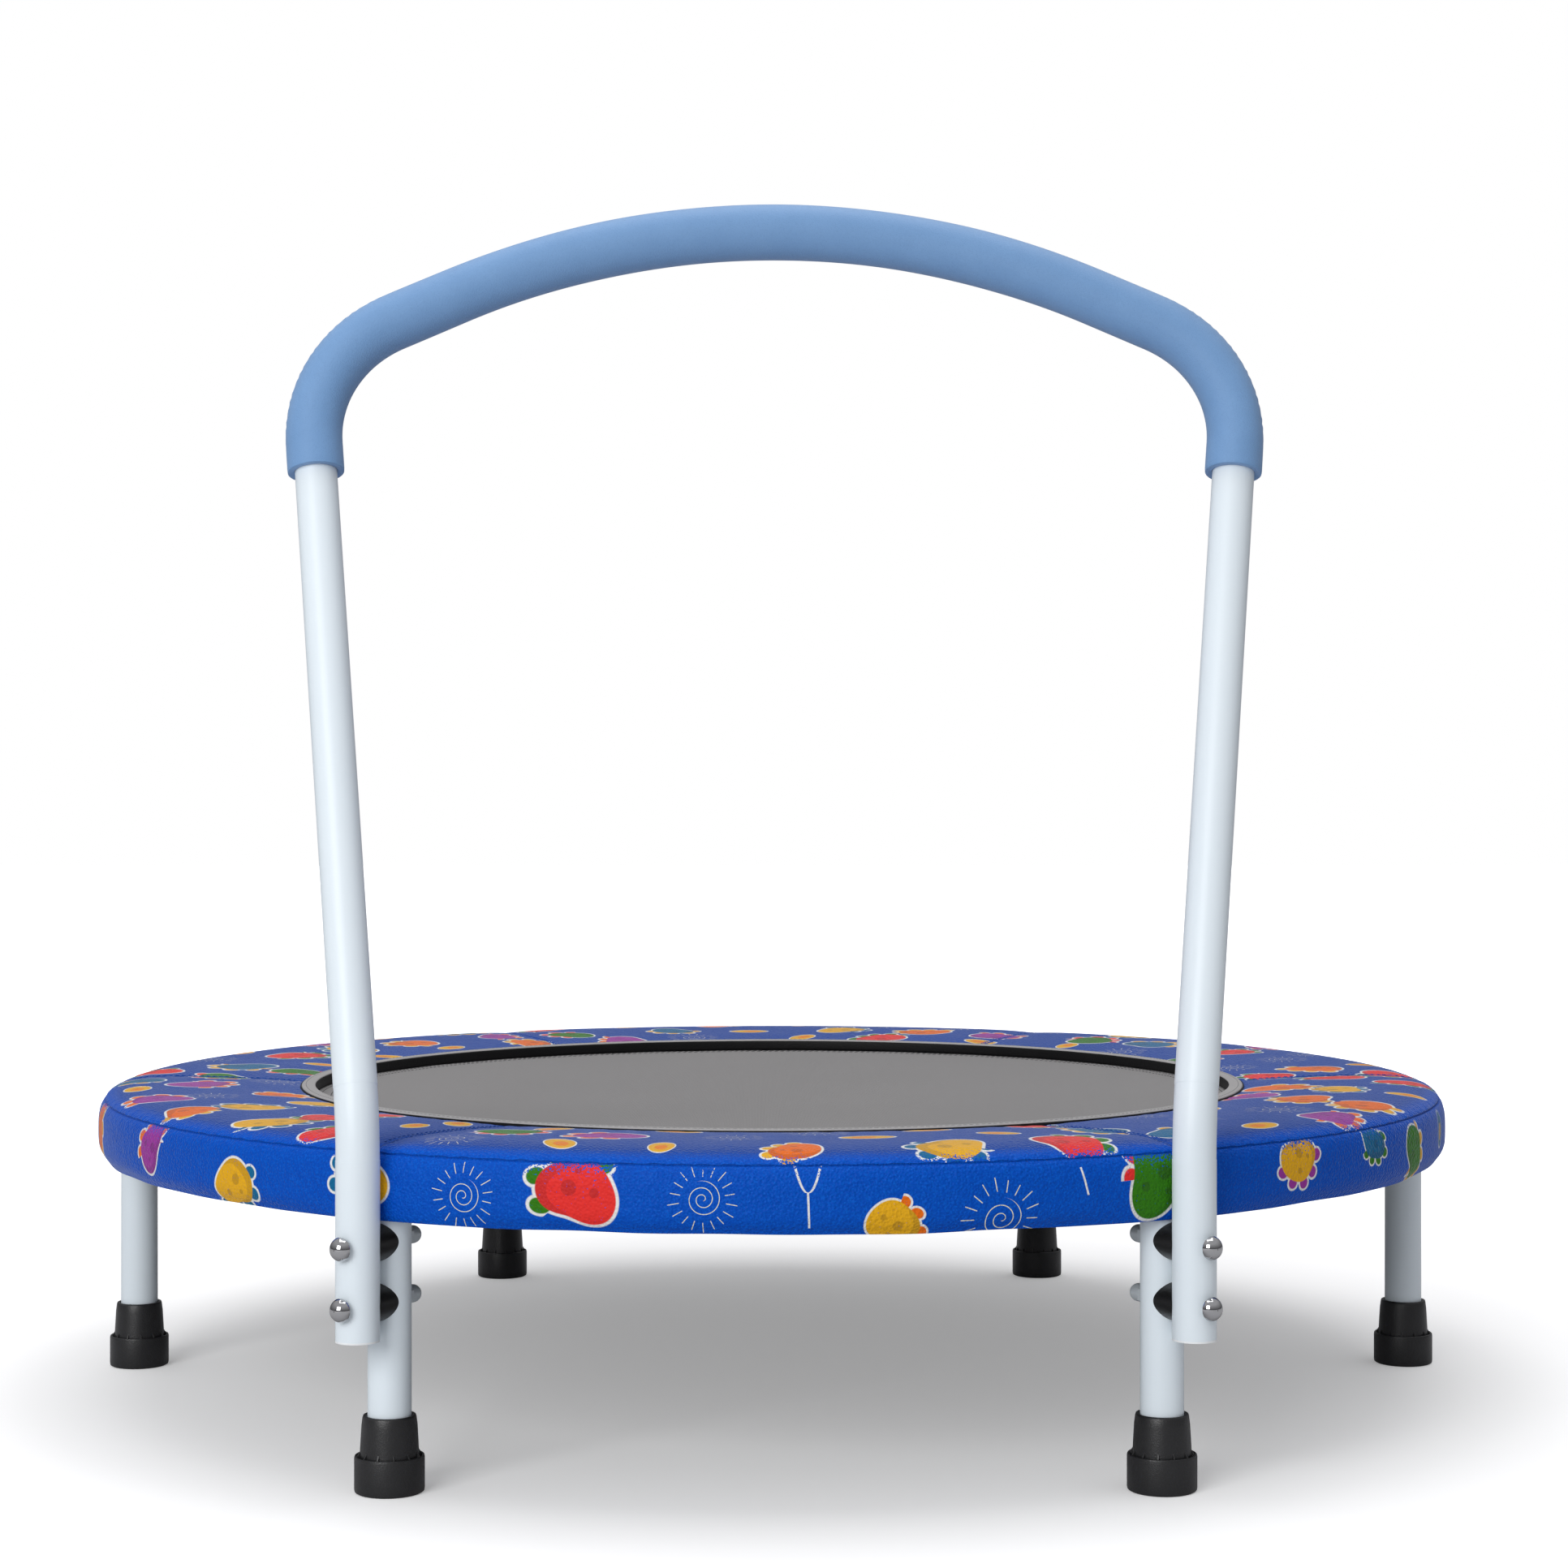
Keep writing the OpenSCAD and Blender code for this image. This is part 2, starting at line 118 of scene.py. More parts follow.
def sheet_mesh(name, points, closed_rows=False, closed_columns=False, caps=False):
    """A mesh from a grid of points, an array of rows x columns x 3."""
    rows, columns = points.shape[:2]
    index = np.arange(rows * columns).reshape(rows, columns)
    down = np.roll(index, -1, axis=0) if closed_rows else index[1:]
    here = index if closed_rows else index[:-1]
    right_here, right_down = np.roll(here, -1, axis=1), np.roll(down, -1, axis=1)
    if not closed_columns:
        here, down = here[:, :-1], down[:, :-1]
        right_here, right_down = right_here[:, :-1], right_down[:, :-1]
    faces = np.stack([here, down, right_down, right_here], axis=-1).reshape(-1, 4).tolist()
    if caps:
        faces += [index[0].tolist(), index[-1][::-1].tolist()]
    mesh = bpy.data.meshes.new(name)
    mesh.from_pydata(points.reshape(-1, 3).tolist(), [], faces)
    return finish_mesh(mesh)


def smooth_outline(points, steps=6, closed=False):
    """A Catmull-Rom curve through a few points, as an array of points x 2."""
    points = np.array(points, dtype=float)
    count = len(points)
    out = []
    spans = count if closed else count - 1
    for i in range(spans):
        picks = [i - 1, i, i + 1, i + 2]
        picks = [k % count if closed else min(max(k, 0), count - 1) for k in picks]
        a, b, c, d = points[picks]
        for t in np.arange(steps) / steps:
            out.append(0.5 * (2 * b + (c - a) * t + (2 * a - 5 * b + 4 * c - d) * t**2
                              + (3 * b - a - 3 * c + d) * t**3))
    if not closed:
        out.append(points[-1])
    return np.array(out)


def round_points(radius, turn, height):
    """Points at a distance from +Z, an angle about it and a height."""
    return np.stack([radius * np.cos(turn), radius * np.sin(turn), height + 0 * turn], axis=-1)


def lathe(name, outline, columns):
    """A closed shell of revolution about +Z from an outline of [radius, height] in metres."""
    turn = np.arange(columns) * TAU / columns
    points = round_points(outline[:, :1], turn, outline[:, 1:])
    return sheet_mesh(name, points, closed_rows=True, closed_columns=True)


def turned(mesh, degrees, shift=(0, 0, 0)):
    """A copy of a mesh, shifted and then turned about +Z."""
    copy = mesh.copy()
    copy.transform(Matrix.Rotation(math.radians(degrees), 4, "Z") @ Matrix.Translation(shift))
    return copy


def joined(name, meshes):
    work = bmesh.new()
    for mesh in meshes:
        work.from_mesh(mesh)
    out = bpy.data.meshes.new(name)
    work.to_mesh(out)
    work.free()
    return finish_mesh(out)


def path_mesh(name, points, closed=False):
    """A polyline, for the trees that sweep or stitch along a path."""
    count = len(points)
    edges = [(i, i + 1) for i in range(count - 1)] + ([(count - 1, 0)] if closed else [])
    mesh = bpy.data.meshes.new(name)
    mesh.from_pydata([tuple(p) for p in points], edges, [])
    return mesh


# ---------------------------------------------------------------- geometry node trees


def wire_up(tree, kind, values=None, **settings):
    """Adds a node, sets its settings, and links or sets its inputs by name or number."""
    node = tree.nodes.new(kind)
    for key, value in settings.items():
        setattr(node, key, value)
    for key, value in (values or {}).items():
        socket = node.inputs[key]
        if isinstance(value, bpy.types.NodeSocket):
            tree.links.new(value, socket)
        else:
            socket.default_value = value
    return node


def shape_tree(name, inputs):
    """An empty geometry tree with a Geometry input and output and named inputs for its sizes."""
    tree = bpy.data.node_groups.new(name, "GeometryNodeTree")
    tree.interface.new_socket("Geometry", in_out="INPUT", socket_type="NodeSocketGeometry")
    for label, socket_type in inputs.items():
        tree.interface.new_socket(label, in_out="INPUT", socket_type="NodeSocket" + socket_type)
    tree.interface.new_socket("Geometry", in_out="OUTPUT", socket_type="NodeSocketGeometry")
    return tree, tree.nodes.new("NodeGroupInput").outputs


def close_tree(tree, geometry, material):
    """Ends a tree with realised, smooth geometry in the given material."""
    realised = wire_up(tree, "GeometryNodeRealizeInstances", {"Geometry": geometry})
    smooth = wire_up(tree, "GeometryNodeSetShadeSmooth", {"Geometry": realised.outputs[0]})
    painted = wire_up(tree, "GeometryNodeSetMaterial",
                      {"Geometry": smooth.outputs[0], "Material": material})
    wire_up(tree, "NodeGroupOutput", {"Geometry": painted.outputs[0]})
    return tree


def wire_tree():
    """Sweeps a round wire along each path."""
    tree, given = shape_tree(
        "Swept wire", {"Radius": "Float", "Sides": "Int", "Material": "Material"})
    curve = wire_up(tree, "GeometryNodeMeshToCurve", {"Mesh": given["Geometry"]})
    ring = wire_up(tree, "GeometryNodeCurvePrimitiveCircle",
                   {"Resolution": given["Sides"], "Radius": given["Radius"]})
    tube = wire_up(tree, "GeometryNodeCurveToMesh",
                   {"Curve": curve.outputs[0], "Profile Curve": ring.outputs[0], "Fill Caps": True})
    return close_tree(tree, tube.outputs[0], given["Material"])


def stitch_tree():
    """Lays short threads end to end along each path, with a small random tilt."""
    tree, given = shape_tree("Stitches", {
        "Pitch": "Float", "Length": "Float", "Thickness": "Float", "Seed": "Int",
        "Material": "Material"})
    curve = wire_up(tree, "GeometryNodeMeshToCurve", {"Mesh": given["Geometry"]})
    spaced = wire_up(tree, "GeometryNodeResampleCurve",
                     {"Curve": curve.outputs[0], "Length": given["Pitch"]}, mode="LENGTH")
    thread = wire_up(tree, "GeometryNodeMeshUVSphere", {"Segments": 6, "Rings": 4, "Radius": 0.5})
    size = wire_up(tree, "ShaderNodeCombineXYZ",
                   {"X": given["Length"], "Y": given["Thickness"], "Z": given["Thickness"]})
    along = wire_up(tree, "GeometryNodeInputTangent")
    aim = wire_up(tree, "FunctionNodeAlignRotationToVector", {"Vector": along.outputs[0]}, axis="X")
    tilt = wire_up(tree, "FunctionNodeRandomValue", {
        "Min": (-0.05, -0.05, -0.05), "Max": (0.05, 0.05, 0.05), "Seed": given["Seed"]},
        data_type="FLOAT_VECTOR")
    both = wire_up(tree, "FunctionNodeRotateRotation",
                   {"Rotation": aim.outputs[0], "Rotate By": tilt.outputs[0]}, rotation_space="LOCAL")
    laid = wire_up(tree, "GeometryNodeInstanceOnPoints", {
        "Points": spaced.outputs[0], "Instance": thread.outputs[0],
        "Rotation": both.outputs[0], "Scale": size.outputs[0]})
    return close_tree(tree, laid.outputs[0], given["Material"])


def round_tree():
    """Repeats a shape at equal angles round +Z."""
    tree, given = shape_tree(
        "Round the hoop", {"Count": "Int", "First Angle": "Float", "Material": "Material"})
    spots = wire_up(tree, "GeometryNodePoints", {"Count": given["Count"]})
    number = wire_up(tree, "GeometryNodeInputIndex")
    step = wire_up(tree, "ShaderNodeMath", {0: TAU, 1: given["Count"]}, operation="DIVIDE")
    angle = wire_up(tree, "ShaderNodeMath",
                    {0: number.outputs[0], 1: step.outputs[0], 2: given["First Angle"]},
                    operation="MULTIPLY_ADD")
    turn = wire_up(tree, "ShaderNodeCombineXYZ", {"Z": angle.outputs[0]})
    copies = wire_up(tree, "GeometryNodeInstanceOnPoints", {
        "Points": spots.outputs[0], "Instance": given["Geometry"], "Rotation": turn.outputs[0]})
    return close_tree(tree, copies.outputs[0], given["Material"])


def grown(name, base, tree, **values):
    """Runs a tree on a base mesh and keeps the result as a plain mesh."""
    carrier = bpy.data.objects.new(name + "_carrier", base)
    bpy.context.scene.collection.objects.link(carrier)
    modifier = carrier.modifiers.new("Shape", "NODES")
    modifier.node_group = tree
    labels = {item.name: item.identifier for item in tree.interface.items_tree
              if item.item_type == "SOCKET" and item.in_out == "INPUT"}
    for label, value in values.items():
        modifier[labels[label.replace("_", " ")]] = value
    ready = carrier.evaluated_get(bpy.context.evaluated_depsgraph_get())
    mesh = bpy.data.meshes.new_from_object(ready)
    bpy.data.objects.remove(carrier)
    mesh.name = name
    return mesh


WIRE = wire_tree()
STITCHES = stitch_tree()
ROUND = round_tree()

# ---------------------------------------------------------------- shader helpers


class Number:
    """A number in a shader tree, so that a pattern reads as a formula."""

    def __init__(self, tree, socket):
        self.tree, self.socket = tree, socket

    def combine(self, operation, *others):
        node = self.tree.nodes.new("ShaderNodeMath")
        node.operation = operation
        for slot, value in enumerate((self,) + others):
            if isinstance(value, Number):
                self.tree.links.new(value.socket, node.inputs[slot])
            else:
                node.inputs[slot].default_value = value
        return Number(self.tree, node.outputs[0])

    def __add__(self, other):
        return self.combine("ADD", other)

    def __sub__(self, other):
        return self.combine("SUBTRACT", other)

    def __mul__(self, other):
        return self.combine("MULTIPLY", other)

    def __truediv__(self, other):
        return self.combine("DIVIDE", other)

    def size(self):
        return self.combine("ABSOLUTE")

    def sine(self):
        return self.combine("SINE")

    def cosine(self):
        return self.combine("COSINE")

    def part(self):
        return self.combine("FRACT")

    def root(self):
        return self.combine("SQRT")

    def least(self, other):
        return self.combine("MINIMUM", other)

    def most(self, other):
        return self.combine("MAXIMUM", other)

    def under(self, limit, soft=0.02):
        """1 below the limit and 0 above it, with a soft edge."""
        node = self.tree.nodes.new("ShaderNodeMapRange")
        edge = (self - limit) / soft
        self.tree.links.new(edge.socket, node.inputs["Value"])
        for label, value in {"From Min": -0.5, "From Max": 0.5, "To Min": 1, "To Max": 0}.items():
            node.inputs[label].default_value = value
        return Number(self.tree, node.outputs["Result"])

    def over(self, limit, soft=0.02):
        return (self * -1).under(limit * -1, soft)


def mixed(tree, share, low, high, blend="MIX"):
    """Mixes two colours by a share."""
    node = tree.nodes.new("ShaderNodeMix")
    node.data_type = "RGBA"
    node.blend_type = blend
    for socket, value in ((node.inputs[0], share), (node.inputs[6], low), (node.inputs[7], high)):
        if isinstance(value, Number):
            value = value.socket
        if isinstance(value, bpy.types.NodeSocket):
            tree.links.new(value, socket)
        else:
            socket.default_value = value if not hasattr(value, "__len__") else (*value[:3], 1)
    return node.outputs[2]


def group_tree(name, inputs, outputs):
    tree = bpy.data.node_groups.new(name, "ShaderNodeTree")
    for label, (socket_type, value) in inputs.items():
        socket = tree.interface.new_socket(label, in_out="INPUT", socket_type="NodeSocket" + socket_type)
        if value is not None:
            socket.default_value = value
    for label, socket_type in outputs.items():
        tree.interface.new_socket(label, in_out="OUTPUT", socket_type="NodeSocket" + socket_type)
    return tree, tree.nodes.new("NodeGroupInput").outputs, tree.nodes.new("NodeGroupOutput").inputs


def grain_group():
    """Fine leather-like grain: rounded cells, a little uneven. Gives a height and a fleck mask."""
    tree, given, out = group_tree(
        "Grain",
        {"Place": ("Vector", None), "Cells": ("Float", 900.0), "Unevenness": ("Float", 0.4)},
        {"Height": "Float", "Fleck": "Float"})
    cells = wire_up(tree, "ShaderNodeTexVoronoi",
                    {"Vector": given["Place"], "Scale": given["Cells"]}, feature="SMOOTH_F1")
    cells.inputs["Smoothness"].default_value = 0.6
    soft = wire_up(tree, "ShaderNodeTexNoise",
                   {"Vector": given["Place"], "Scale": 240.0, "Detail": 3.0})
    fleck = wire_up(tree, "ShaderNodeTexNoise",
                    {"Vector": given["Place"], "Scale": 60.0, "Detail": 4.0})
    uneven = Number(tree, soft.outputs["Fac"]) * Number(tree, given["Unevenness"])
    height = Number(tree, cells.outputs["Distance"]) + uneven
    tree.links.new(height.socket, out["Height"])
    tree.links.new(fleck.outputs["Fac"], out["Fleck"])
    return tree


def weave_group():
    """Plain weave: crossing threads along two axes. Gives a height and a colour mask."""
    tree, given, out = group_tree(
        "Weave",
        {"Place": ("Vector", None), "Threads": ("Float", 900.0)},
        {"Height": "Float", "Mask": "Float"})
    split = wire_up(tree, "ShaderNodeSeparateXYZ", {"Vector": given["Place"]})
    threads = Number(tree, given["Threads"])
    across = Number(tree, split.outputs["X"]) * threads
    along = Number(tree, split.outputs["Y"]) * threads
    over = (across * math.pi).sine() * (along * math.pi).sine()
    warp = (across * TAU).cosine().size() * over.over(0, 0.5)
    weft = (along * TAU).cosine().size() * over.under(0, 0.5)
    height = warp + weft
    tree.links.new(height.socket, out["Height"])
    tree.links.new(over.over(0, 0.5).socket, out["Mask"])
    return tree


def wear_group():
    """Handling marks: a mask of broad smudges and one of fine scratches."""
    tree, given, out = group_tree(
        "Wear", {"Place": ("Vector", None), "Scale": ("Float", 8.0)},
        {"Smudge": "Float", "Scratch": "Float"})
    smudge = wire_up(tree, "ShaderNodeTexNoise", {
        "Vector": given["Place"], "Scale": given["Scale"], "Detail": 5.0, "Roughness": 0.6})
    stretch = wire_up(tree, "ShaderNodeMapping", {"Vector": given["Place"], "Scale": (60, 60, 900)})
    scratch = wire_up(tree, "ShaderNodeTexNoise",
                      {"Vector": stretch.outputs[0], "Scale": 1.0, "Detail": 2.0})
    tree.links.new(smudge.outputs["Fac"], out["Smudge"])
    tree.links.new(Number(tree, scratch.outputs["Fac"]).over(0.68, 0.05).socket, out["Scratch"])
    return tree


GRAIN = grain_group()
WEAVE = weave_group()
WEAR = wear_group()


def place_group(tree, group, **values):
    node = tree.nodes.new("ShaderNodeGroup")
    node.node_tree = group
    for label, value in values.items():
        socket = node.inputs[label.replace("_", " ")]
        if isinstance(value, bpy.types.NodeSocket):
            tree.links.new(value, socket)
        else:
            socket.default_value = value
    return node.outputs


def start_material(name, **constants):
    """A material with its shader's constants set, and the object coordinates to work from."""
    material = bpy.data.materials.new(name)
    material.use_nodes = True
    tree = material.node_tree
    shader = tree.nodes["Principled BSDF"]
    for label, value in constants.items():
        socket = shader.inputs[label.replace("_", " ")]
        socket.default_value = (*value, 1) if hasattr(value, "__len__") else value
    place = tree.nodes.new("ShaderNodeTexCoord").outputs["Object"]
    return material, tree, shader, place


def bump(tree, shader, height, distance):
    node = tree.nodes.new("ShaderNodeBump")
    node.inputs["Distance"].default_value = distance
    node.inputs["Strength"].default_value = 1.0
    tree.links.new(height.socket if isinstance(height, Number) else height, node.inputs["Height"])
    tree.links.new(node.outputs[0], shader.inputs["Normal"])


def between(tree, mask, low, high):
    """A number that runs from low to high with a mask."""
    node = wire_up(tree, "ShaderNodeMapRange", {"Value": mask, "To Min": low, "To Max": high})
    return node.outputs["Result"]


# ---------------------------------------------------------------- materials


def powder_coat():
    """Glossy powder coat with a fine orange peel."""
    material, tree, shader, place = start_material(
        "powder_coat_ice_white", Specular_IOR_Level=0.4, Coat_Roughness=0.25)
    wear = place_group(tree, WEAR, Place=place, Scale=9.0)
    peel = wire_up(tree, "ShaderNodeTexNoise", {"Vector": place, "Scale": 700.0, "Detail": 1.0})
    colour = mixed(tree, wear["Smudge"], (0.80, 0.885, 0.945), (0.835, 0.915, 0.965))
    tree.links.new(colour, shader.inputs["Base Color"])
    tree.links.new(between(tree, wear["Smudge"], 0.36, 0.48), shader.inputs["Roughness"])
    tree.links.new(between(tree, wear["Scratch"], 0.2, 0.05), shader.inputs["Coat Weight"])
    bump(tree, shader, peel.outputs["Fac"], 0.00004)
    return material


def plated_steel(name, colour, rough_low, rough_high, bump_depth, metallic=1.0):
    """Plated steel, smudged and finely scratched."""
    material, tree, shader, place = start_material(name, Metallic=metallic)
    wear = place_group(tree, WEAR, Place=place, Scale=40.0)
    dull = tuple(0.82 * c for c in colour)
    tree.links.new(mixed(tree, wear["Smudge"], colour, dull), shader.inputs["Base Color"])
    tree.links.new(between(tree, wear["Smudge"], rough_low, rough_high), shader.inputs["Roughness"])
    bump(tree, shader, wear["Scratch"], bump_depth)
    return material


def moulded(name, colour, roughness, pebble, gloss=0.5):
    """Moulded rubber or plastic with a fine spark-eroded texture."""
    material, tree, shader, place = start_material(name, Specular_IOR_Level=gloss)
    grain = place_group(tree, GRAIN, Place=place, Cells=pebble)
    lighter = tuple(min(1, c * 1.25 + 0.004) for c in colour)
    tree.links.new(mixed(tree, grain["Fleck"], colour, lighter), shader.inputs["Base Color"])
    rough = between(tree, grain["Fleck"], roughness - 0.05, roughness + 0.07)
    tree.links.new(rough, shader.inputs["Roughness"])
    bump(tree, shader, grain["Height"], 0.00008)
    return material


def grip_foam():
    """Closed-cell foam with open pores in its skin, the pores darkened with painted shade."""
    material, tree, shader, place = start_material(
        "grip_foam_steel_blue", Specular_IOR_Level=0.35, Sheen_Weight=0.15, Sheen_Roughness=0.5)
    pores = wire_up(tree, "ShaderNodeTexVoronoi", {"Vector": place, "Scale": 1100.0}, feature="F1")
    fleck = wire_up(tree, "ShaderNodeTexNoise", {"Vector": place, "Scale": 45.0, "Detail": 5.0})
    fine = wire_up(tree, "ShaderNodeTexNoise", {"Vector": place, "Scale": 2600.0, "Detail": 2.0})
    skin = mixed(tree, fleck.outputs["Fac"], (0.16, 0.315, 0.575), (0.195, 0.365, 0.64))
    # Painted shade: the pores are darkened towards a deep blue.
    pore = Number(tree, pores.outputs["Distance"]).under(0.22, 0.12) * 0.25
    tree.links.new(mixed(tree, pore, skin, (0.06, 0.15, 0.34)), shader.inputs["Base Color"])
    tree.links.new(between(tree, fleck.outputs["Fac"], 0.5, 0.62), shader.inputs["Roughness"])
    height = Number(tree, pores.outputs["Distance"]).most(0.2) + Number(tree, fine.outputs["Fac"]) * 0.4
    bump(tree, shader, height, 0.00012)
    return material


def mat_fabric():
    """Plain-woven plastic cloth, a little faded in patches."""
    material, tree, shader, place = start_material(
        "mat_weave_grey", Specular_IOR_Level=0.15, Sheen_Weight=0.04, Sheen_Roughness=0.5)
    weave = place_group(tree, WEAVE, Place=place, Threads=700.0)
    cloud = wire_up(tree, "ShaderNodeTexNoise", {"Vector": place, "Scale": 14.0, "Detail": 4.0})
    thread = mixed(tree, weave["Mask"], (0.272, 0.265, 0.265), (0.309, 0.300, 0.300))
    aged = mixed(tree, between(tree, cloud.outputs["Fac"], 0.0, 0.5), thread, (0.328, 0.320, 0.320))
    tree.links.new(aged, shader.inputs["Base Color"])
    tree.links.new(between(tree, cloud.outputs["Fac"], 0.55, 0.7), shader.inputs["Roughness"])
    bump(tree, shader, weave["Height"], 0.00025)
    return material


def woven_tape(name, colour, roughness=0.75):
    """Narrow woven tape with crosswise ribs."""
    material, tree, shader, place = start_material(name, Specular_IOR_Level=0.3)
    weave = place_group(tree, WEAVE, Place=place, Threads=850.0)
    dark = tuple(0.7 * c for c in colour)
    tree.links.new(mixed(tree, weave["Mask"], dark, colour), shader.inputs["Base Color"])
    rough = between(tree, weave["Mask"], roughness - 0.08, roughness + 0.05)
    tree.links.new(rough, shader.inputs["Roughness"])
    bump(tree, shader, weave["Height"], 0.0002)
    return material


def thread_material(name, colour):
    """Spun sewing thread."""
    material, tree, shader, place = start_material(name, Specular_IOR_Level=0.4)
    strands = wire_up(tree, "ShaderNodeTexNoise", {"Vector": place, "Scale": 3000.0, "Detail": 1.0})
    dark = tuple(0.65 * c for c in colour)
    tree.links.new(mixed(tree, strands.outputs["Fac"], dark, colour), shader.inputs["Base Color"])
    tree.links.new(between(tree, strands.outputs["Fac"], 0.45, 0.65), shader.inputs["Roughness"])
    bump(tree, shader, strands.outputs["Fac"], 0.00008)
    return material


def plain_vinyl(name, colour, roughness):
    """Grained vinyl in one colour."""
    material, tree, shader, place = start_material(name, Specular_IOR_Level=0.2)
    grain = place_group(tree, GRAIN, Place=place, Cells=800.0)
    light = tuple(min(1, 1.12 * c + 0.003) for c in colour)
    tree.links.new(mixed(tree, grain["Fleck"], colour, light), shader.inputs["Base Color"])
    rough = between(tree, grain["Fleck"], roughness - 0.04, roughness + 0.08)
    tree.links.new(rough, shader.inputs["Roughness"])
    bump(tree, shader, grain["Height"], 0.00012)
    return material


# The print's shapes, drawn in each motif's own coordinates, where it is about 1 in radius
PEBBLE, SUN, SEED, SPRIG, DASH = range(5)
WHITE_INK = (0.80, 0.80, 0.78)
CREAM_INK = (0.78, 0.74, 0.52)


def print_group():
    """The cover's print. Place holds a motif's own x, y and kind, and Ink and Trim its colours."""
    tree, given, out = group_tree(
        "Cover print",
        {"Place": ("Vector", None), "Ink": ("Color", None), "Trim": ("Color", None),
         "Variant": ("Float", 0.0), "Ground": ("Color", None)},
        {"Colour": "Color", "Inked": "Float"})
    split = wire_up(tree, "ShaderNodeSeparateXYZ", {"Vector": given["Place"]})
    x, y, kind = (Number(tree, split.outputs[axis]) for axis in "XYZ")
    variant = Number(tree, given["Variant"])
    radius = (x * x + y * y).root()
    angle = y.combine("ARCTAN2", x)

    def is_kind(code):
        return (kind - code).size().under(0.5, 0.01)

    # Pebble: a wavy outline, bumps round part of it, spots and a darker lower edge
    wave = (angle * 2 + variant * TAU).sine() * 0.09 + (angle * 3 - variant * 9).sine() * 0.05
    edge = wave + 0.60
    bumps = 9
    bump_angle = ((angle / TAU * bumps + variant * 3).part() - 0.5) * (TAU / bumps)
    bump_x = radius * bump_angle.cosine() - edge - 0.05
    bump_y = radius * bump_angle.sine()
    bump_side = (angle + variant * TAU).sine().over(-0.15, 0.02)
    bump_gap = (bump_x * bump_x + bump_y * bump_y).root() + (bump_side * -1 + 1)
    body = (radius - edge).under(0)
    knob = bump_gap.under(0.15)
    outline = (radius - edge).least(bump_gap - 0.15).under(0.055)
    low_x, low_y = x + 0.10, y - 0.13
    shade = ((low_x * low_x + low_y * low_y).root() - edge * 0.93).over(0) * 0.55
    spots = shade
    for spot_x, spot_y, spot_r in ((0.12, -0.08, 0.13), (-0.26, 0.14, 0.08), (-0.12, -0.30, 0.06)):
        gap = ((x - spot_x).combine("POWER", 2.0) + (y - spot_y).combine("POWER", 2.0)).root()
        spots = spots.most(gap.under(spot_r) * 0.7)
    pebble = is_kind(PEBBLE)
    dark_ink = mixed(tree, 0.42, given["Ink"], (0.02, 0.01, 0.02))
    body_ink = mixed(tree, spots, given["Ink"], dark_ink)

    # Sun: a spiral with a ring of rays
    rays = 18
    coil = (radius * 5.2 - angle / TAU).part() - 0.5
    spiral = coil.size().under(0.052, 0.035) * radius.under(0.50) * radius.over(0.05)
    ray_angle = ((angle / TAU * rays).part() - 0.5) * (TAU / rays)
    ray = (radius * ray_angle.sine()).size().under(0.010, 0.009)
    reach = (angle * 5 + variant * TAU).sine() * 0.05
    ray = ray * (radius - reach).under(0.93) * (radius - reach * 0.4).over(0.64)
    sun = is_kind(SUN) * spiral.most(ray)

    # Seed: a small oval with a warm centre
    long_x, short_y = x / 0.92, y / 0.5
    oval = (long_x * long_x + short_y * short_y).root()
    centre_x = (x - 0.15) / 0.45
    centre = (centre_x * centre_x + short_y * short_y * 4).root().under(1.0, 0.08) * 0.7
    seed = is_kind(SEED)

    # Sprig: a forked line. Dash: a short one
    fork = y.most(0.05) - 0.05
    fork_line = (x.size() - fork.root() * 0.42).size().under(0.035, 0.02) * y.over(0.05)
    stem = (x + y * 0.04).size().under(0.03, 0.02) * y.under(0.07)
    sprig = is_kind(SPRIG) * fork_line.most(stem) * y.size().under(0.98)
    dash = is_kind(DASH) * x.size().under(0.045, 0.02) * y.size().under(0.62)

    inked = (pebble * outline).most(seed * oval.under(1.1, 0.04)).most(sun).most(sprig).most(dash)
    colour = mixed(tree, inked, given["Ground"], WHITE_INK)
    colour = mixed(tree, sun, colour, CREAM_INK)
    colour = mixed(tree, pebble * knob, colour, given["Trim"])
    colour = mixed(tree, pebble * body, colour, body_ink)
    colour = mixed(tree, seed * oval.under(1.0, 0.04), colour, given["Ink"])
    colour = mixed(tree, seed * oval.under(1.0, 0.04) * centre, colour, given["Trim"])
    tree.links.new(colour, out["Colour"])
    tree.links.new(inked.socket, out["Inked"])
    return tree


